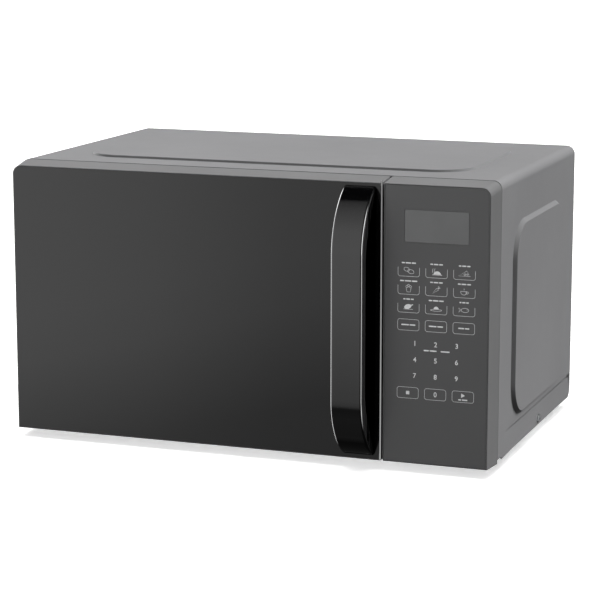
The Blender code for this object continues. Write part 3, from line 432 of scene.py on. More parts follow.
def smooth_group():
    """A node group that shades smooth, apart from edges sharper than SHARP_ANGLE."""
    group = bpy.data.node_groups.new("smooth_by_angle", "GeometryNodeTree")
    for direction in ("INPUT", "OUTPUT"):
        group.interface.new_socket("Geometry", in_out=direction, socket_type="NodeSocketGeometry")
    start = group.nodes.new("NodeGroupInput")
    end = group.nodes.new("NodeGroupOutput")
    faces = group.nodes.new("GeometryNodeSetShadeSmooth")
    edges = group.nodes.new("GeometryNodeSetShadeSmooth")
    edges.domain = "EDGE"
    edges.inputs["Shade Smooth"].default_value = False
    angle = group.nodes.new("GeometryNodeInputMeshEdgeAngle")
    sharp = group.nodes.new("FunctionNodeCompare")
    sharp.inputs["B"].default_value = SHARP_ANGLE
    for source, target in (
        (start.outputs[0], faces.inputs["Geometry"]),
        (faces.outputs["Geometry"], edges.inputs["Geometry"]),
        (angle.outputs["Unsigned Angle"], sharp.inputs["A"]),
        (sharp.outputs["Result"], edges.inputs["Selection"]),
        (edges.outputs["Geometry"], end.inputs[0]),
    ):
        group.links.new(source, target)
    return group


SMOOTH = smooth_group()


def soften(item, width):
    """Rounds a piece's hard edges and shades it: the last modifiers on every piece."""
    if width:
        edges = item.modifiers.new("edges", "BEVEL")
        edges.width = width
        edges.segments = 2
        edges.limit_method = "ANGLE"
        edges.angle_limit = SHARP_ANGLE
    shade = item.modifiers.new("shade", "NODES")
    shade.node_group = SMOOTH
    even = item.modifiers.new("even", "WEIGHTED_NORMAL")
    even.keep_sharp = True


def piece(name, shape, look, body, edge=0.0, replaces=(), sheet=0.0):
    """Makes one visible piece from a bmesh, with its material, body and finish.

    edge is the width of its softened edges, and sheet is its thickness if the bmesh is a bare skin.
    """
    mesh = bpy.data.meshes.new(name)
    bmesh.ops.recalc_face_normals(shape, faces=shape.faces)
    shape.to_mesh(mesh)
    shape.free()
    made = bpy.data.objects.new(name, mesh)
    SCENE.collection.objects.link(made)
    mesh.materials.append(LOOKS[look])
    if sheet:
        thick = made.modifiers.new("thickness", "SOLIDIFY")
        thick.thickness = sheet
        thick.offset = -1
        thick.use_even_offset = True
    soften(made, edge)
    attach(made, body)
    if replaces:
        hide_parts(*replaces)
    return made


def rounded_outline(low, high, radii, steps=10):
    """Points of a rounded rectangle, anticlockwise from its lower right corner's arc.

    radii are for the corners lower right, upper right, upper left, lower left.
    """
    points = []
    for index, radius in enumerate(radii):
        u = high[0] - radius if index in (0, 1) else low[0] + radius
        v = high[1] - radius if index in (1, 2) else low[1] + radius
        for step in range(steps + 1):
            angle = math.radians(90 * (index - 1 + step / steps))
            points.append((u + radius * math.cos(angle), v + radius * math.sin(angle)))
    return points


def grown(low, high, radii, offset, steps=10):
    """The rounded rectangle moved outwards by an offset."""
    return rounded_outline(
        (low[0] - offset, low[1] - offset), (high[0] + offset, high[1] + offset),
        [max(radius + offset, 0.0001) for radius in radii], steps,
    )


def bridge(shape, first, second, closed=True):
    """Quads between two rows of vertices of equal length."""
    count = len(first)
    for index in range(count if closed else count - 1):
        after = (index + 1) % count
        shape.faces.new((first[index], first[after], second[after], second[index]))


def loft(shape, rings):
    """A closed solid through rings of points of equal count."""
    rows = [[shape.verts.new(point) for point in ring] for ring in rings]
    for first, second in zip(rows, rows[1:]):
        bridge(shape, first, second)
    shape.faces.new(rows[0][::-1])
    shape.faces.new(rows[-1])


# Carried-over CAD nodes

# How wide each node's softened edges are, where they aren't PLAIN_BEVEL
PLAIN_BEVEL = 0.0003
BEVELS = {
    "door_frame": 0.00025,
    "control_panel_frame": 0.00025,
    "key_overlay": 0.00012,
    "display_window": 0.00012,
    "door_inner_cover": 0.0006,
    "glass_tray": 0.0,
    "latch_spring": 0.0,
    "lead_grommet": 0.0005,
    "capacitor": 0.001,
    "transformer_primary": 0.0015,
    "transformer_secondary": 0.0015,
}


def dress_nodes():
    """Gives every CAD node its material, clean faces and soft edges."""
    slots = {entry["node"]: entry["material_slot"] for entry in frame["record"]["subparts"]}
    for name, node in NODES.items():
        look = LOOKS[NODE_LOOKS.get(name, slots[name])]
        for slot in node.material_slots:
            slot.material = look
        weld = node.modifiers.new("weld", "WELD")
        weld.merge_threshold = 0.00001
        flatten = node.modifiers.new("flatten", "DECIMATE")
        flatten.decimate_type = "DISSOLVE"
        flatten.angle_limit = math.radians(1)
        soften(node, BEVELS.get(name, PLAIN_BEVEL))


# Cover

def press_profile(height, slope, bend, steps=4):
    """(offset, height) points down a pressed wall, from its flat top to the sheet around it.

    The wall slopes by an angle in degrees, and rounds into both flats with a bend radius.
    """
    angle = math.radians(slope)
    margin = 0.0006
    run = bend * math.sin(angle)
    drop = bend * (1 - math.cos(angle))
    total = 2 * run + (height - 2 * drop) / math.tan(angle)
    crest = []
    foot = []
    for step in range(steps + 1):
        turn = angle * step / steps
        crest.append((bend * math.sin(turn) - total, height - bend * (1 - math.cos(turn))))
        foot.append((-bend * math.sin(turn), bend * (1 - math.cos(turn))))
    return [(-total - margin, height)] + crest + foot[::-1] + [(margin, 0.0)]


def pressed_plate(shape, place, panel, profile, sides, steps=14):
    """A flat plate with a raised panel: place turns (u, v, height) into a point.

    sides are the plate's four edges, each a list of (u, v) points. They go anticlockwise from the
    lower right corner, and each starts where the last one ends.
    """
    low, high = panel
    radii = [PANEL_RADIUS] * 4
    rings = []
    for offset, height in profile:
        outline = grown(low, high, radii, offset, steps)
        rings.append([shape.verts.new(place(u, v, height)) for u, v in outline])
    for first, second in zip(rings, rings[1:]):
        bridge(shape, second, first)
    shape.faces.new(rings[0])
    outer = rings[-1]
    middle = [index * (steps + 1) + steps // 2 for index in range(4)]
    corners = [shape.verts.new(place(*side[0], 0.0)) for side in sides]
    for index, side in enumerate(sides):
        after = (index + 1) % 4
        inner = [outer[middle[index]]]
        position = middle[index]
        while position != middle[after]:
            position = (position + 1) % len(outer)
            inner.append(outer[position])
        path = [corners[index]] + [shape.verts.new(place(*point, 0.0)) for point in side[1:-1]]
        path.append(corners[after])
        shape.faces.new(path + inner[::-1])


def cover_side(shape):
    """The right-hand side sheet, with its notch at the front foot and its round rear foot."""
    front = COVER_FRONT
    rear = COVER_HIGH.y - REAR_BEND
    foot = COVER_LOW.z
    top = BODY_TOP - CORNER
    notch_end = front + 0.013
    notch_slope = 0.002
    notch_top = foot + 0.0024
    steps = 8
    curve = []
    for step in range(steps + 1):
        angle = math.radians(90 * step / steps)
        y = rear - REAR_FOOT + REAR_FOOT * math.sin(angle)
        curve.append((y, foot + REAR_FOOT * (1 - math.cos(angle))))
    bottom = [(front, notch_top), (notch_end - notch_slope, notch_top), (notch_end, foot)]
    sides = [
        [curve[-1], (rear, top)],
        [(rear, top), (front, top)],
        [(front, top), bottom[0]],
        bottom + curve,
    ]
    profile = press_profile(SIDE_PRESS, slope=48, bend=0.0006)
    pressed_plate(shape, lambda u, v, w: (HALF_WIDTH + w, u, v), SIDE_PANEL, profile, sides)


def cover_section(depth, foot, steps=8):
    """(x, z) points from the right foot over the top to the left foot, at a depth in the cover."""
    radius = max(CORNER - depth, 0.0004)
    x = HALF_WIDTH - depth - radius
    z = BODY_TOP - depth - radius
    half = [(x + radius, foot)]
    for step in range(steps + 1):
        angle = math.radians(90 * step / steps)
        half.append((x + radius * math.cos(angle), z + radius * math.sin(angle)))
    return half + [(-x, z) for x, z in reversed(half)]


def cover_rear(shape):
    """The bend at the rear edge and the flange that the rear screws go through."""
    rear = COVER_HIGH.y
    foot = COVER_LOW.z + REAR_FOOT
    steps = 5
    stations = []
    for step in range(steps + 1):
        angle = math.radians(90 * step / steps)
        stations.append((rear - REAR_BEND * (1 - math.sin(angle)), REAR_BEND * (1 - math.cos(angle))))
    stations.append((rear, REAR_FLANGE))
    rows = [[shape.verts.new((x, y, z)) for x, z in cover_section(depth, foot)] for y, depth in stations]
    for first, second in zip(rows, rows[1:]):
        bridge(shape, first, second, closed=False)


def cover_corners(shape):
    """The long round corners between the top, which starts further back, and the sides."""
    section = cover_section(0.0, BODY_TOP - CORNER)
    half = len(section) // 2
    for arc in (section[1:half], section[half:-1]):
        front = []
        rear = []
        for x, z in arc:
            climb = 1 - (BODY_TOP - z) / CORNER
            front.append(shape.verts.new((x, COVER_FRONT + (TOP_FRONT - COVER_FRONT) * climb, z)))
            rear.append(shape.verts.new((x, COVER_HIGH.y - REAR_BEND, z)))
        bridge(shape, front, rear, closed=False)


def foot_faces(shape):
    """The side sheets' faces that reach below the crease."""
    return [face for face in shape.faces
            if abs(face.normal.x) > 0.9
            and abs(face.calc_center_median().x) > HALF_WIDTH - SHEET
            and min(vert.co.z for vert in face.verts) < CREASE - 0.0001]


def press_foot_strip(shape):
    """Sinks the strip along each foot, under a straight crease that fades out at both ends."""
    crease_step = 0.0005
    ramp = 0.0250
    front = -0.0850
    rear = 0.1435
    near = 1e-5
    cuts = [((0, 0, z), (0, 0, 1)) for z in (CREASE, CREASE - crease_step)]
    cuts += [((0, y, 0), (0, 1, 0)) for y in (front, front + ramp, rear - ramp, rear)]
    for point, normal in cuts:
        faces = foot_faces(shape)
        edges = {edge for face in faces for edge in face.edges}
        verts = {vert for face in faces for vert in face.verts}
        bmesh.ops.bisect_plane(shape, geom=[*faces, *edges, *verts], dist=1e-6,
                               plane_co=point, plane_no=normal)
    for vert in shape.verts:
        along = front + ramp - near < vert.co.y < rear - ramp + near
        below = vert.co.z < CREASE - crease_step + near
        if along and below and abs(vert.co.x) > HALF_WIDTH - near:
            vert.co.x -= math.copysign(FOOT_SINK, vert.co.x)


def make_seam_shade():
    """A black strip in the joint between the front and the cover: painted shade for the gap."""
    foot = COVER_LOW.z + 0.003
    outline = cover_section(0.0006, foot) + cover_section(0.0014, foot)[::-1]
    ends = (-0.1064, -0.1042)
    shape = bmesh.new()
    loft(shape, [[(x, y, z) for x, z in outline] for y in ends])
    piece("cover_seam_shade", shape, "black_plastic", "oven")


def make_crease_shade():
    """A black strip along each crease, painted shade where the sheet steps in below it, and the hooked
    slot that it ends in at the rear.
    """
    front = -0.0790
    # The painted shade line runs along the crease between these places
    shade_start = -0.0500
    shade_end = 0.1430
    hook_bottom = 0.0240
    lower_lip = CREASE - 0.0001
    upper_lip = CREASE + 0.00035
    outline = [
        (front, lower_lip), (front, CREASE + 0.0001), (shade_start, upper_lip), (shade_end, upper_lip),
        (0.1560, 0.0338), (0.1576, 0.0322), (0.1562, hook_bottom), (0.1546, hook_bottom),
        (0.1540, 0.0302), (shade_end, lower_lip),
    ]
    depths = (HALF_WIDTH - 0.0002, HALF_WIDTH + 0.00008)
    for side, sign in (("left", -1), ("right", 1)):
        shape = bmesh.new()
        loft(shape, [[(sign * x, y, z) for y, z in outline] for x in depths])
        piece(f"crease_shade_slot_{side}", shape, "black_plastic", "oven")


def cover_top(shape):
    """The top sheet, between the two long round corners."""
    side = HALF_WIDTH - CORNER
    rear = COVER_HIGH.y - REAR_BEND
    corners = [(side, TOP_FRONT), (side, rear), (-side, rear), (-side, TOP_FRONT)]
    sides = [[corners[index], corners[(index + 1) % 4]] for index in range(4)]
    profile = press_profile(TOP_PRESS, slope=62, bend=0.0004)
    pressed_plate(shape, lambda u, v, w: (u, v, BODY_TOP + w), TOP_PANEL, profile, sides)


def make_cover():
    """The wrapped sheet-steel cover, as one welded skin with a sheet's thickness."""
    shape = bmesh.new()
    cover_side(shape)
    mirrored = bmesh.ops.duplicate(shape, geom=[*shape.verts, *shape.edges, *shape.faces])["geom"]
    verts = [item for item in mirrored if isinstance(item, bmesh.types.BMVert)]
    bmesh.ops.scale(shape, vec=(-1, 1, 1), verts=verts)
    cover_top(shape)
    cover_corners(shape)
    cover_rear(shape)
    bmesh.ops.remove_doubles(shape, verts=shape.verts, dist=0.00001)
    shape.normal_update()
    press_foot_strip(shape)
    piece("cover_shell", shape, "cover_paint", "oven", sheet=SHEET, replaces=["outer_cover"])


# Door

def make_door_glass_pane():
    """Toughened glass with a ground edge, its upper left corner round like the door's."""
    fit = 0.00025
    low = (GLASS_LOW.x - fit, GLASS_LOW.z - fit)
    high = (GLASS_HIGH.x + fit, GLASS_HIGH.z + fit)
    square = 0.0006
    rounded = 0.0069
    radii = [square, square, rounded, square]
    ground = 0.0002
    steps = 3
    rings = []
    for step in range(steps + 1):
        angle = math.radians(90 * step / steps)
        y = GLASS_LOW.y + ground * (1 - math.cos(angle))
        outline = grown(low, high, radii, -ground * (1 - math.sin(angle)))
        rings.append([(x, y, z) for x, z in outline])
    rings.append([(x, GLASS_HIGH.y, z) for x, z in grown(low, high, radii, 0.0)])
    shape = bmesh.new()
    loft(shape, rings)
    piece("door_glass_pane", shape, "door_glass", "door", replaces=["door_glass"])


def arch(share, reach):
    """How far the handle stands out, at a share of the run from its end."""
    fullness = 0.75
    return reach * (1 - (1 - share) ** 2) ** fullness


def inset(outline, amount):
    """The closed outline moved inwards by an amount, square to its edges."""
    moved = []
    count = len(outline)
    for index, point in enumerate(outline):
        normals = []
        for start, end in ((outline[index - 1], point), (point, outline[(index + 1) % count])):
            along = (Vector(end) - Vector(start)).normalized()
            normals.append(Vector((-along.y, along.x)))
        middle = (normals[0] + normals[1]).normalized()
        reach = amount / max(middle.dot(normals[0]), 0.5)
        moved.append(tuple(Vector(point) + middle * reach))
    return moved


def rounded_bar(low_x, high_x, outline, radius):
    """A bar across X with one outline in (y, z) and rounded ends."""
    steps = 6
    stations = []
    for step in range(steps + 1):
        angle = math.radians(90 * step / steps)
        stations.append((radius * (1 - math.sin(angle)), radius * (1 - math.cos(angle))))
    rings = [(low_x + out, amount) for amount, out in stations]
    rings += [(high_x - out, amount) for amount, out in reversed(stations)]
    shape = bmesh.new()
    loft(shape, [[(x, y, z) for y, z in inset(outline, amount)] for x, amount in rings])
    return shape


def make_handle_bar():
    """The arched handle: one glossy bar with rounded long edges."""
    steps = 30
    crowding = 1.8
    shares = [(index / steps) ** crowding for index in range(steps + 1)]
    rounding = 0.0022
    left = HANDLE_LOW.x - 0.0008
    right = HANDLE_HIGH.x + 0.0014
    foot = HANDLE_HIGH.y
    reach = foot - HANDLE_LOW.y
    low = HANDLE_LOW.z
    high = HANDLE_HIGH.z

    def rise(start, sign, run, height):
        """(y, z) points of one arc, from its foot at a height of start."""
        return [(foot - arch(share, height), start + sign * run * share) for share in shares]

    outer = rise(low, 1, OUTER_RUN, reach) + rise(high, -1, OUTER_RUN, reach)[::-1]
    inner_reach = reach - HANDLE_THICK
    inner = rise(high - HANDLE_LEG, -1, INNER_RUN, inner_reach)
    inner += rise(low + HANDLE_LEG, 1, INNER_RUN, inner_reach)[::-1]
    bar = rounded_bar(left, right, (outer + inner)[::-1], rounding)
    piece("handle_bar", bar, "handle_gloss", "door", replaces=["handle"])


def make_door_edge():
    """The bright bead down the door's opening edge."""
    x = DOOR_HIGH.x
    y = FACE_Y
    section = [(x - 0.0012, y + 0.0001), (x - 0.0006, y - 0.0005),
               (x + 0.0004, y + 0.0005), (x - 0.0001, y + 0.0012)]
    ends = (DOOR_LOW.z + 0.0006, DOOR_HIGH.z - 0.0012)
    shape = bmesh.new()
    loft(shape, [[(u, v, z) for u, v in section] for z in ends])
    piece("door_edge_bead", shape, "door_glass", "door", edge=0.0001)


def make_latch_coil():
    """The latch's return spring: a wire coil with closed ends."""
    low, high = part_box("latch_spring")
    wire = 0.00035
    wire_sides = 8
    per_turn = 12
    open_turns = 5.5
    closed = [0.0008] * per_turn
    pitches = closed + [0.0029] * int(open_turns * per_turn) + closed
    middle = Vector(((low.x + high.x) / 2, (low.y + high.y) / 2, 0.0))
    up = Vector((0.0, 0.0, 1.0))
    radius = (high.x - low.x) / 2 - wire
    total = sum(pitches) / per_turn
    scale = (high.z - low.z - 2 * wire) / total
    height = low.z + wire
    rings = []
    for index, pitch in enumerate([0.0] + pitches):
        height += pitch / per_turn * scale
        angle = 2 * math.pi * index / per_turn
        out = Vector((math.cos(angle), math.sin(angle), 0.0))
        centre = middle + radius * out + height * up
        ring = []
        for step in range(wire_sides):
            turn = 2 * math.pi * step / wire_sides
            ring.append(centre + wire * (math.cos(turn) * out + math.sin(turn) * up))
        rings.append(ring)
    shape = bmesh.new()
    loft(shape, rings)
    coil = piece("latch_coil", shape, "spring_steel", "latch", replaces=["latch_spring"])
    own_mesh(coil)


# Screws

def screw_head(name, at, turn, node):
    """A pan head with a cross recess, its face along the turned +Z."""
    radius = 0.0038
    height = 0.0019
    fall = 0.0009
    recess = 0.0009
    recess_end = radius * 0.62
    arm = 0.00042
    rounds = 14
    sides = 48
    place = Matrix.Translation(at) @ turn
    angles = [2 * math.pi * (index + 0.5) / sides for index in range(sides)]
    shape = bmesh.new()

    def ring(r, surface):
        points = [(r * math.cos(angle), r * math.sin(angle)) for angle in angles]
        return [shape.verts.new(place @ Vector((u, v, surface(r, u, v)))) for u, v in points]

    def crown(r, u, v):
        z = height - fall * (r / radius) ** 3
        return z - recess if min(abs(u), abs(v)) < arm and r < recess_end else z

    rows = [ring(radius * step / rounds, crown) for step in range(1, rounds)]
    rows += [ring(radius, crown), ring(radius, lambda r, u, v: 0.0)]
    for first, second in zip(rows, rows[1:]):
        bridge(shape, first, second)
    shape.faces.new(rows[0])
    shape.faces.new(rows[-1][::-1])
    piece(name, shape, "zinc_steel", "oven", replaces=[node])


def make_screws():
    """The cover's screws: two up each side of the rear flange and one low on each side."""
    for side, sign in (("left", -1), ("right", 1)):
        for height in ("low", "high"):
            node = f"rear_screw_{height}_{side}"
            low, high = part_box(node)
            at = ((low.x + high.x) / 2, COVER_HIGH.y, (low.z + high.z) / 2)
            screw_head(f"{node}_head", at, Matrix.Rotation(math.radians(-90), 4, "X"), node)
        node = f"side_screw_{side}"
        low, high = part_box(node)
        at = (sign * (HALF_WIDTH - FOOT_SINK), (low.y + high.y) / 2, (low.z + high.z) / 2)
        screw_head(f"{node}_head", at, Matrix.Rotation(math.radians(90 * sign), 4, "Y"), node)


# Keypad print

class Print:
    """Ink on the keypad film, drawn in the oven's own X and Z in millimetres."""

    def __init__(self):
        self.shape = bmesh.new()

    def vert(self, x, z):
        return self.shape.verts.new((x / 1000, INK_Y, z / 1000))

    def stroke(self, points, width=ICON_LINE, closed=False):
        """A ribbon along a path."""
        count = len(points)
        left = []
        right = []
        for index, (x, z) in enumerate(points):
            before = points[index - 1] if closed or index else points[index]
            after = points[(index + 1) % count] if closed or index < count - 1 else points[index]
            along = Vector((after[0] - before[0], after[1] - before[1])).normalized()
            side = Vector((-along.y, along.x)) * width / 2
            left.append(self.vert(x + side.x, z + side.y))
            right.append(self.vert(x - side.x, z - side.y))
        bridge(self.shape, left, right, closed)

    def fill(self, points):
        self.shape.faces.new([self.vert(x, z) for x, z in points])

    def block(self, low, high):
        """A filled rectangle with small round corners."""
        self.fill(rounded_outline(low, high, [0.3] * 4, 2))

    def oval(self, x, z, wide, high, turn=0.0, start=0.0, end=360.0, filled=False):
        """An ellipse around a centre, turned by an angle, or its arc between two angles."""
        count = 20
        whole = end - start >= 360
        lean = math.radians(turn)
        points = []
        for index in range(count if whole else count + 1):
            angle = math.radians(start + (end - start) * index / count)
            u = wide / 2 * math.cos(angle)
            v = high / 2 * math.sin(angle)
            across = x + u * math.cos(lean) - v * math.sin(lean)
            points.append((across, z + u * math.sin(lean) + v * math.cos(lean)))
        if filled:
            self.fill(points)
        else:
            self.stroke(points, closed=whole)

    def key(self, x, z, high, open_top=False):
        """A rounded key outline around a centre, without its top edge where that is open."""
        half = KEY_WIDTH / 2
        top = z + high / 2
        radius = 2.0
        steps = 6
        outline = rounded_outline((x - half, z - high / 2), (x + half, top), [radius] * 4, steps)
        if open_top:
            lower_left = outline[-steps - 1:]
            lower_right = outline[:steps + 1]
            outline = [(x - half, top), *lower_left, *lower_right, (x + half, top)]
        self.stroke(outline, KEY_LINE, closed=not open_top)

    def caption(self, x, z, width, shares=(3, 5, 4)):
        """Plain dashes in the place of words, each with its share of the width."""
        gap = 0.7
        half = 0.55
        unit = (width - gap * (len(shares) - 1)) / sum(shares)
        left = x - width / 2
        for share in shares:
            right = left + share * unit
            self.block((left, z - half), (right, z + half))
            left = right + gap

    def digit(self, text, x, z, high):
        """A digit in Blender's own font, slightly bolder and slimmer."""
        curve = bpy.data.curves.new("digit", "FONT")
        curve.body = text
        curve.size = 1.0
        curve.offset = 0.012
        slim = 0.95
        made = bpy.data.objects.new("digit", curve)
        SCENE.collection.objects.link(made)
        graph = bpy.context.evaluated_depsgraph_get()
        mesh = bpy.data.meshes.new_from_object(made.evaluated_get(graph))
        low = [min(vert.co[axis] for vert in mesh.vertices) for axis in (0, 1)]
        top = [max(vert.co[axis] for vert in mesh.vertices) for axis in (0, 1)]
        middle = [(a + b) / 2 for a, b in zip(low, top)]
        tall = high / (top[1] - low[1]) / 1000
        wide = slim * tall
        place = Matrix(((wide, 0, 0, x / 1000 - middle[0] * wide),
                        (0, 0, 0, INK_Y),
                        (0, tall, 0, z / 1000 - middle[1] * tall),
                        (0, 0, 0, 1)))
        mesh.transform(place)
        self.shape.from_mesh(mesh)
        bpy.data.objects.remove(made)
        bpy.data.curves.remove(curve)
        bpy.data.meshes.remove(mesh)


# Each icon is a generic outline, drawn around a centre

def two_rounds(ink, x, z):
    ink.oval(x - 1.8, z + 0.9, 5.0, 3.4, -15)
    ink.oval(x + 1.8, z - 0.9, 5.6, 3.4, -15)


def steaming_dish(ink, x, z):
    ink.oval(x + 0.6, z - 2.0, 6.4, 5.4, 0, 0, 180, filled=True)
    ink.stroke([(x - 3.6, z - 2.4), (x + 4.8, z - 2.4)], 0.5)
    for steam in (x - 3.6, x - 2.0):
        ink.stroke([(steam + 0.4, z - 1.0), (steam, z + 1.0), (steam + 0.6, z + 3.0)])


def wedge(ink, x, z):
    ink.stroke([(x - 5.2, z - 2.0), (x + 2.0, z + 2.6), (x + 5.2, z - 2.0)], closed=True)
    ink.oval(x + 0.4, z - 0.6, 1.6, 1.4)
    ink.oval(x + 2.6, z - 0.4, 1.4, 1.3)


def tub(ink, x, z):
    ink.stroke([(x - 2.2, z + 0.6), (x - 1.5, z - 3.0), (x + 1.5, z - 3.0), (x + 2.2, z + 0.6)])
    for step in (-1, 0, 1):
        ink.oval(x + 1.5 * step, z + 1.6 + (1 - abs(step)), 1.9, 1.8)


def carrot(ink, x, z):
    ink.stroke([(x - 3.4, z - 3.0), (x + 0.4, z + 1.8), (x + 2.0, z + 0.2)], closed=True)
    leaf = 2.6
    for angle in (25, 50, 75):
        lean = math.radians(angle)
        tip = (x + 1.2 + leaf * math.cos(lean), z + 1.0 + leaf * math.sin(lean))
        ink.stroke([(x + 1.2, z + 1.0), tip])


def mug(ink, x, z):
    ink.oval(x - 0.4, z + 0.4, 5.6, 6.0, 0, 180, 360)
    ink.stroke([(x - 3.2, z + 0.4), (x + 2.4, z + 0.4)])
    ink.oval(x + 2.6, z - 0.6, 2.2, 1.9)
    ink.stroke([(x - 0.4, z + 1.4), (x, z + 2.2), (x - 0.4, z + 3.0)])


def joint_of_meat(ink, x, z):
    ink.oval(x - 0.6, z, 6.6, 4.0, 20, filled=True)
    ink.stroke([(x + 2.2, z + 1.2), (x + 4.0, z + 2.0)], 0.9)
    ink.stroke([(x - 4.4, z - 2.2), (x + 4.0, z - 2.2)])


def warm_plate(ink, x, z):
    ink.oval(x, z - 1.6, 10.0, 1.6)
    ink.oval(x, z - 0.8, 4.4, 4.6, 0, 0, 180, filled=True)


def fish(ink, x, z):
    ink.oval(x + 0.8, z, 6.6, 3.6)
    ink.stroke([(x - 2.4, z), (x - 4.6, z + 1.8), (x - 4.0, z), (x - 4.6, z - 1.8)], closed=True)
    ink.oval(x + 2.6, z + 0.4, 0.6, 0.6, filled=True)


# The icon and the width of the caption on each cooking key
COOK_KEYS = (
    ((two_rounds, 12.5), (steaming_dish, 10.9), (wedge, 10.0)),
    ((tub, 15.2), (carrot, 11.0), (mug, 11.4)),
    ((joint_of_meat, 9.2), (warm_plate, 13.1), (fish, 8.1)),
)


def print_cook_keys(ink):
    """Three rows of cooking keys: a caption stands in each one's open top, over its icon."""
    for z, row in zip(COOK_ROWS, COOK_KEYS):
        for x, (icon, width) in zip(KEY_COLUMNS, row):
            ink.key(x, z, COOK_HEIGHT, open_top=True)
            icon(ink, x, z + 1.2)
            ink.caption(x, z + CAPTION_RISE, width)


def print_wide_keys(ink):
    """The row of keys above the digits, with a caption in each."""
    for x, width in zip(KEY_COLUMNS, (12.4, 12.4, 9.6)):
        ink.key(x, WIDE_ROW, WIDE_HEIGHT)
        ink.caption(x, WIDE_ROW, width, (4, 3))


def print_digits(ink):
    """The digits 1 to 9, with captions under the first row of them."""
    for index in range(9):
        ink.digit(str(index + 1), DIGIT_COLUMNS[index % 3], DIGIT_ROWS[index // 3], DIGIT_HEIGHT)
    caption_z = DIGIT_ROWS[0] - 5.6
    ink.caption(170.5, caption_z, 11.4, (3, 4))
    ink.caption(183.8, caption_z, 7.8, (1,))


def print_foot_keys(ink):
    """The lowest row: a square for stop, a zero, and a triangle over a caption for start."""
    stop, zero, start = KEY_COLUMNS
    for x in KEY_COLUMNS:
        ink.key(x, FOOT_ROW, WIDE_HEIGHT)
    half = 1.5
    ink.block((stop - half, FOOT_ROW - half), (stop + half, FOOT_ROW + half))
    ink.digit("0", zero, FOOT_ROW, DIGIT_HEIGHT)
    left = start - half
    ink.fill([(left, FOOT_ROW - 0.8), (start + 1.9, FOOT_ROW + 1.1), (left, FOOT_ROW + 3.0)])
    ink.caption(start, FOOT_ROW - 2.7, 8.0, (1, 2))


def make_keypad_print():
    ink = Print()
    print_cook_keys(ink)
    print_wide_keys(ink)
    print_digits(ink)
    print_foot_keys(ink)
    piece("keypad_print", ink.shape, "ink", "oven")


# Studio

def add_light(name, kind, power, direction, unlit, **settings):
    """A light that shows in no reflection and leaves one object alone, as a studio flag does."""
    data = bpy.data.lights.new(name, kind)
    data.energy = power
    for key, value in settings.items():
        setattr(data, key, value)
    light = bpy.data.objects.new(name, data)
    light.rotation_euler = Vector(direction).to_track_quat("-Z", "Y").to_euler()
    light.visible_glossy = False
    SCENE.collection.objects.link(light)
    group = bpy.data.collections.new(f"{name}_flag")
    light.light_linking.receiver_collection = group
    group.objects.link(unlit)
    for entry in group.collection_objects:
        entry.light_linking.link_state = "EXCLUDE"
    return light


def add_rear_light(floor):
    """A soft light from the rear right that rakes the top and the side, and not the floor."""
    add_light("rear_soft", "SUN", 8.2, (-0.60, -0.48, -0.64), floor, angle=math.radians(24))


def add_front_light(cover):
    """A soft square light from above on the front, and not on the cover."""
    place = Vector((0.1, -1.5, 0.9))
    target = Vector((0.1, -0.13, 0.42))
    light = add_light("front_soft", "AREA", 2.4, target - place, cover,
                      shape="SQUARE", size=1.0, spread=math.radians(44))
    light.location = place


def add_camera():
    """The photograph's view: from the front right and a little above the oven."""
    tilt = 10.788
    heading = 20.05
    data = bpy.data.cameras.new("camera")
    data.sensor_width = 36.0
    data.lens = 133.3
    camera = bpy.data.objects.new("camera", data)
    camera.location = (0.7000, -1.9030, 0.5052)
    camera.rotation_euler = (math.radians(90 - tilt), 0.0, math.radians(heading))
    SCENE.collection.objects.link(camera)
    SCENE.camera = camera


# How bright the surroundings look in reflections. Ahead of the oven, by the angle up from the
# front horizon, and at its sides and rear, by the elevation, both in degrees
FRONT_SKY = (
    (-180, 0.02), (-120, 0.02), (-78, 0.065), (-48, 0.085), (-32, 0.067), (-28.5, 0.08),
    (-24, 0.30), (-21, 0.36), (-14.5, 0.42), (-13.4, 0.45), (-12.8, 0.555), (-11.9, 0.68),
    (-10.9, 0.735), (-9.9, 0.765), (0, 0.78), (31, 0.745), (64, 0.446), (77, 0.27), (81.5, 0.22),
    (84, 0.03), (90, 0.0), (180, 0.0),
)
SIDE_SKY = (
    (-90, 0.03), (-45, 0.12), (-25, 0.55), (-12, 0.76), (35, 0.76), (50, 0.40), (60, 0.02), (90, 0.0),
)
# What multiplies that from left to right, by the X of the direction, ahead and behind
FRONT_SWEEP = (
    (-1.0, 8.0), (-0.92, 8.0), (-0.86, 2.2), (-0.6, 2.0), (-0.45, 1.56), (-0.43, 1.50),
    (-0.40, 1.38), (-0.37, 1.18), (-0.345, 1.02), (-0.33, 0.98), (-0.24, 0.98), (-0.12, 0.3),
    (0.70, 0.3), (0.75, 16.0), (0.91, 16.0), (0.965, 0.3), (1.0, 0.2),
)
REAR_SWEEP = ((-1.0, 14.0), (-0.66, 14.0), (-0.56, 0.3), (0.0, 0.3), (0.2, 0.15), (1.0, 0.15))
# The overhead glow that lights matt surfaces, by the elevation
GLOW = ((-90, 0.08), (0, 0.12), (50, 0.12), (58, 3.8), (90, 3.8))
BRIGHTEST = 16.0


def table_value(tree, source, table, low, high):
    """A table's value at the source, which runs from low to high.

    A colour ramp holds places from 0 to 1 and colours up to 1, so both are scaled to fit.
    """
    places = [(at - low) / (high - low) for at, value in table]
    colours = [(value / BRIGHTEST,) * 3 for at, value in table]
    level = tree.steps(tree.spread(source, 0, 1, (low, high)), colours, places)
    return tree.math("MULTIPLY", level, BRIGHTEST)


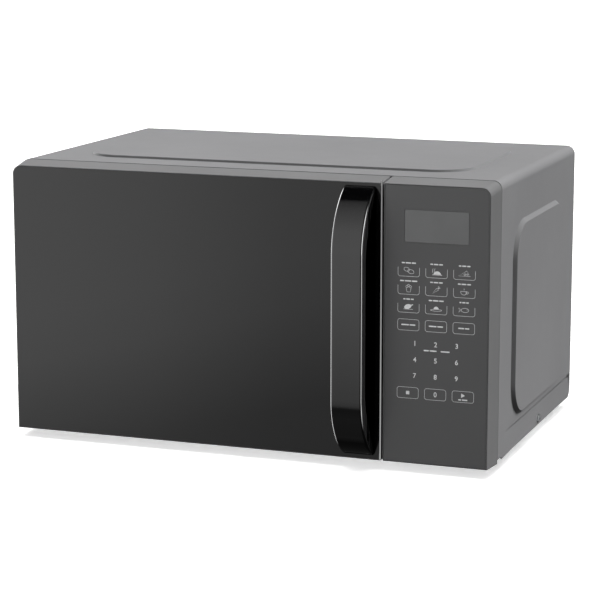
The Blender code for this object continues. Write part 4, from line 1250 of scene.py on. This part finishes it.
def add_world():
    """A studio surround for reflections, an overhead glow for diffuse light and a white backdrop."""
    world = bpy.data.worlds.new("studio")
    world.use_nodes = True
    world.cycles.sampling_method = "NONE"
    SCENE.world = world
    tree = Tree(world.node_tree, "Generated")
    split = tree.add("ShaderNodeSeparateXYZ")
    tree.link(tree.coords, split.inputs["Vector"])
    x, y, z = (split.outputs[axis] for axis in "XYZ")

    ahead = tree.math("MULTIPLY", y, -1.0)
    lift = tree.spread(x, 3.6, 0.0, (-0.50, -0.32))
    climb = tree.math("ADD", tree.math("DEGREES", tree.math("ARCTAN2", z, ahead)), lift)
    elevation = tree.math("DEGREES", tree.math("ARCSINE", z))
    front_sky = table_value(tree, climb, FRONT_SKY, -180, 180)
    side_sky = table_value(tree, elevation, SIDE_SKY, -90, 90)
    turn = tree.math("ABSOLUTE", tree.math("DEGREES", tree.math("ARCTAN2", x, ahead)))
    sky = tree.blend(tree.spread(turn, 0, 1, (60, 75)), front_sky, side_sky)

    front_sweep = table_value(tree, x, FRONT_SWEEP, -1, 1)
    rear_sweep = table_value(tree, x, REAR_SWEEP, -1, 1)
    sweep = tree.blend(tree.spread(y, 0, 1, (-0.1, 0.1)), front_sweep, rear_sweep)

    path = tree.add("ShaderNodeLightPath")
    glow = table_value(tree, elevation, GLOW, -90, 90)
    lit = tree.blend(path.outputs["Is Diffuse Ray"], tree.math("MULTIPLY", sky, sweep), glow)
    backdrop = 1.0
    background = tree.tree.nodes["Background"]
    background.inputs["Color"].default_value = (1.0, 1.0, 1.0, 1.0)
    tree.link(tree.blend(path.outputs["Is Camera Ray"], lit, backdrop), background.inputs["Strength"])


def add_floor():
    """A wide pale disc that shows in no reflection and bounces no light."""
    shape = bmesh.new()
    bmesh.ops.create_circle(shape, cap_ends=True, radius=14.0, segments=96)
    mesh = bpy.data.meshes.new("floor")
    shape.to_mesh(mesh)
    shape.free()
    floor = bpy.data.objects.new("floor", mesh)
    SCENE.collection.objects.link(floor)
    look = Shader("pale_floor", (0.90, 0.90, 0.90), 0.9)
    look.mottle(look.noise(1.5, 2.0), 0.01)
    look.set("Emission Color", (1.0, 1.0, 1.0, 1.0))
    look.set("Emission Strength", 0.5)
    mesh.materials.append(look.material)
    floor.visible_glossy = False
    floor.visible_diffuse = False
    return floor


def add_studio():
    SCENE.view_settings.view_transform = "Standard"
    add_world()
    add_rear_light(add_floor())
    add_front_light(bpy.data.objects["cover_shell"])
    add_camera()


dress_nodes()
make_cover()
make_seam_shade()
make_crease_shade()
make_door_glass_pane()
make_handle_bar()
make_door_edge()
make_latch_coil()
make_screws()
make_keypad_print()
add_studio()
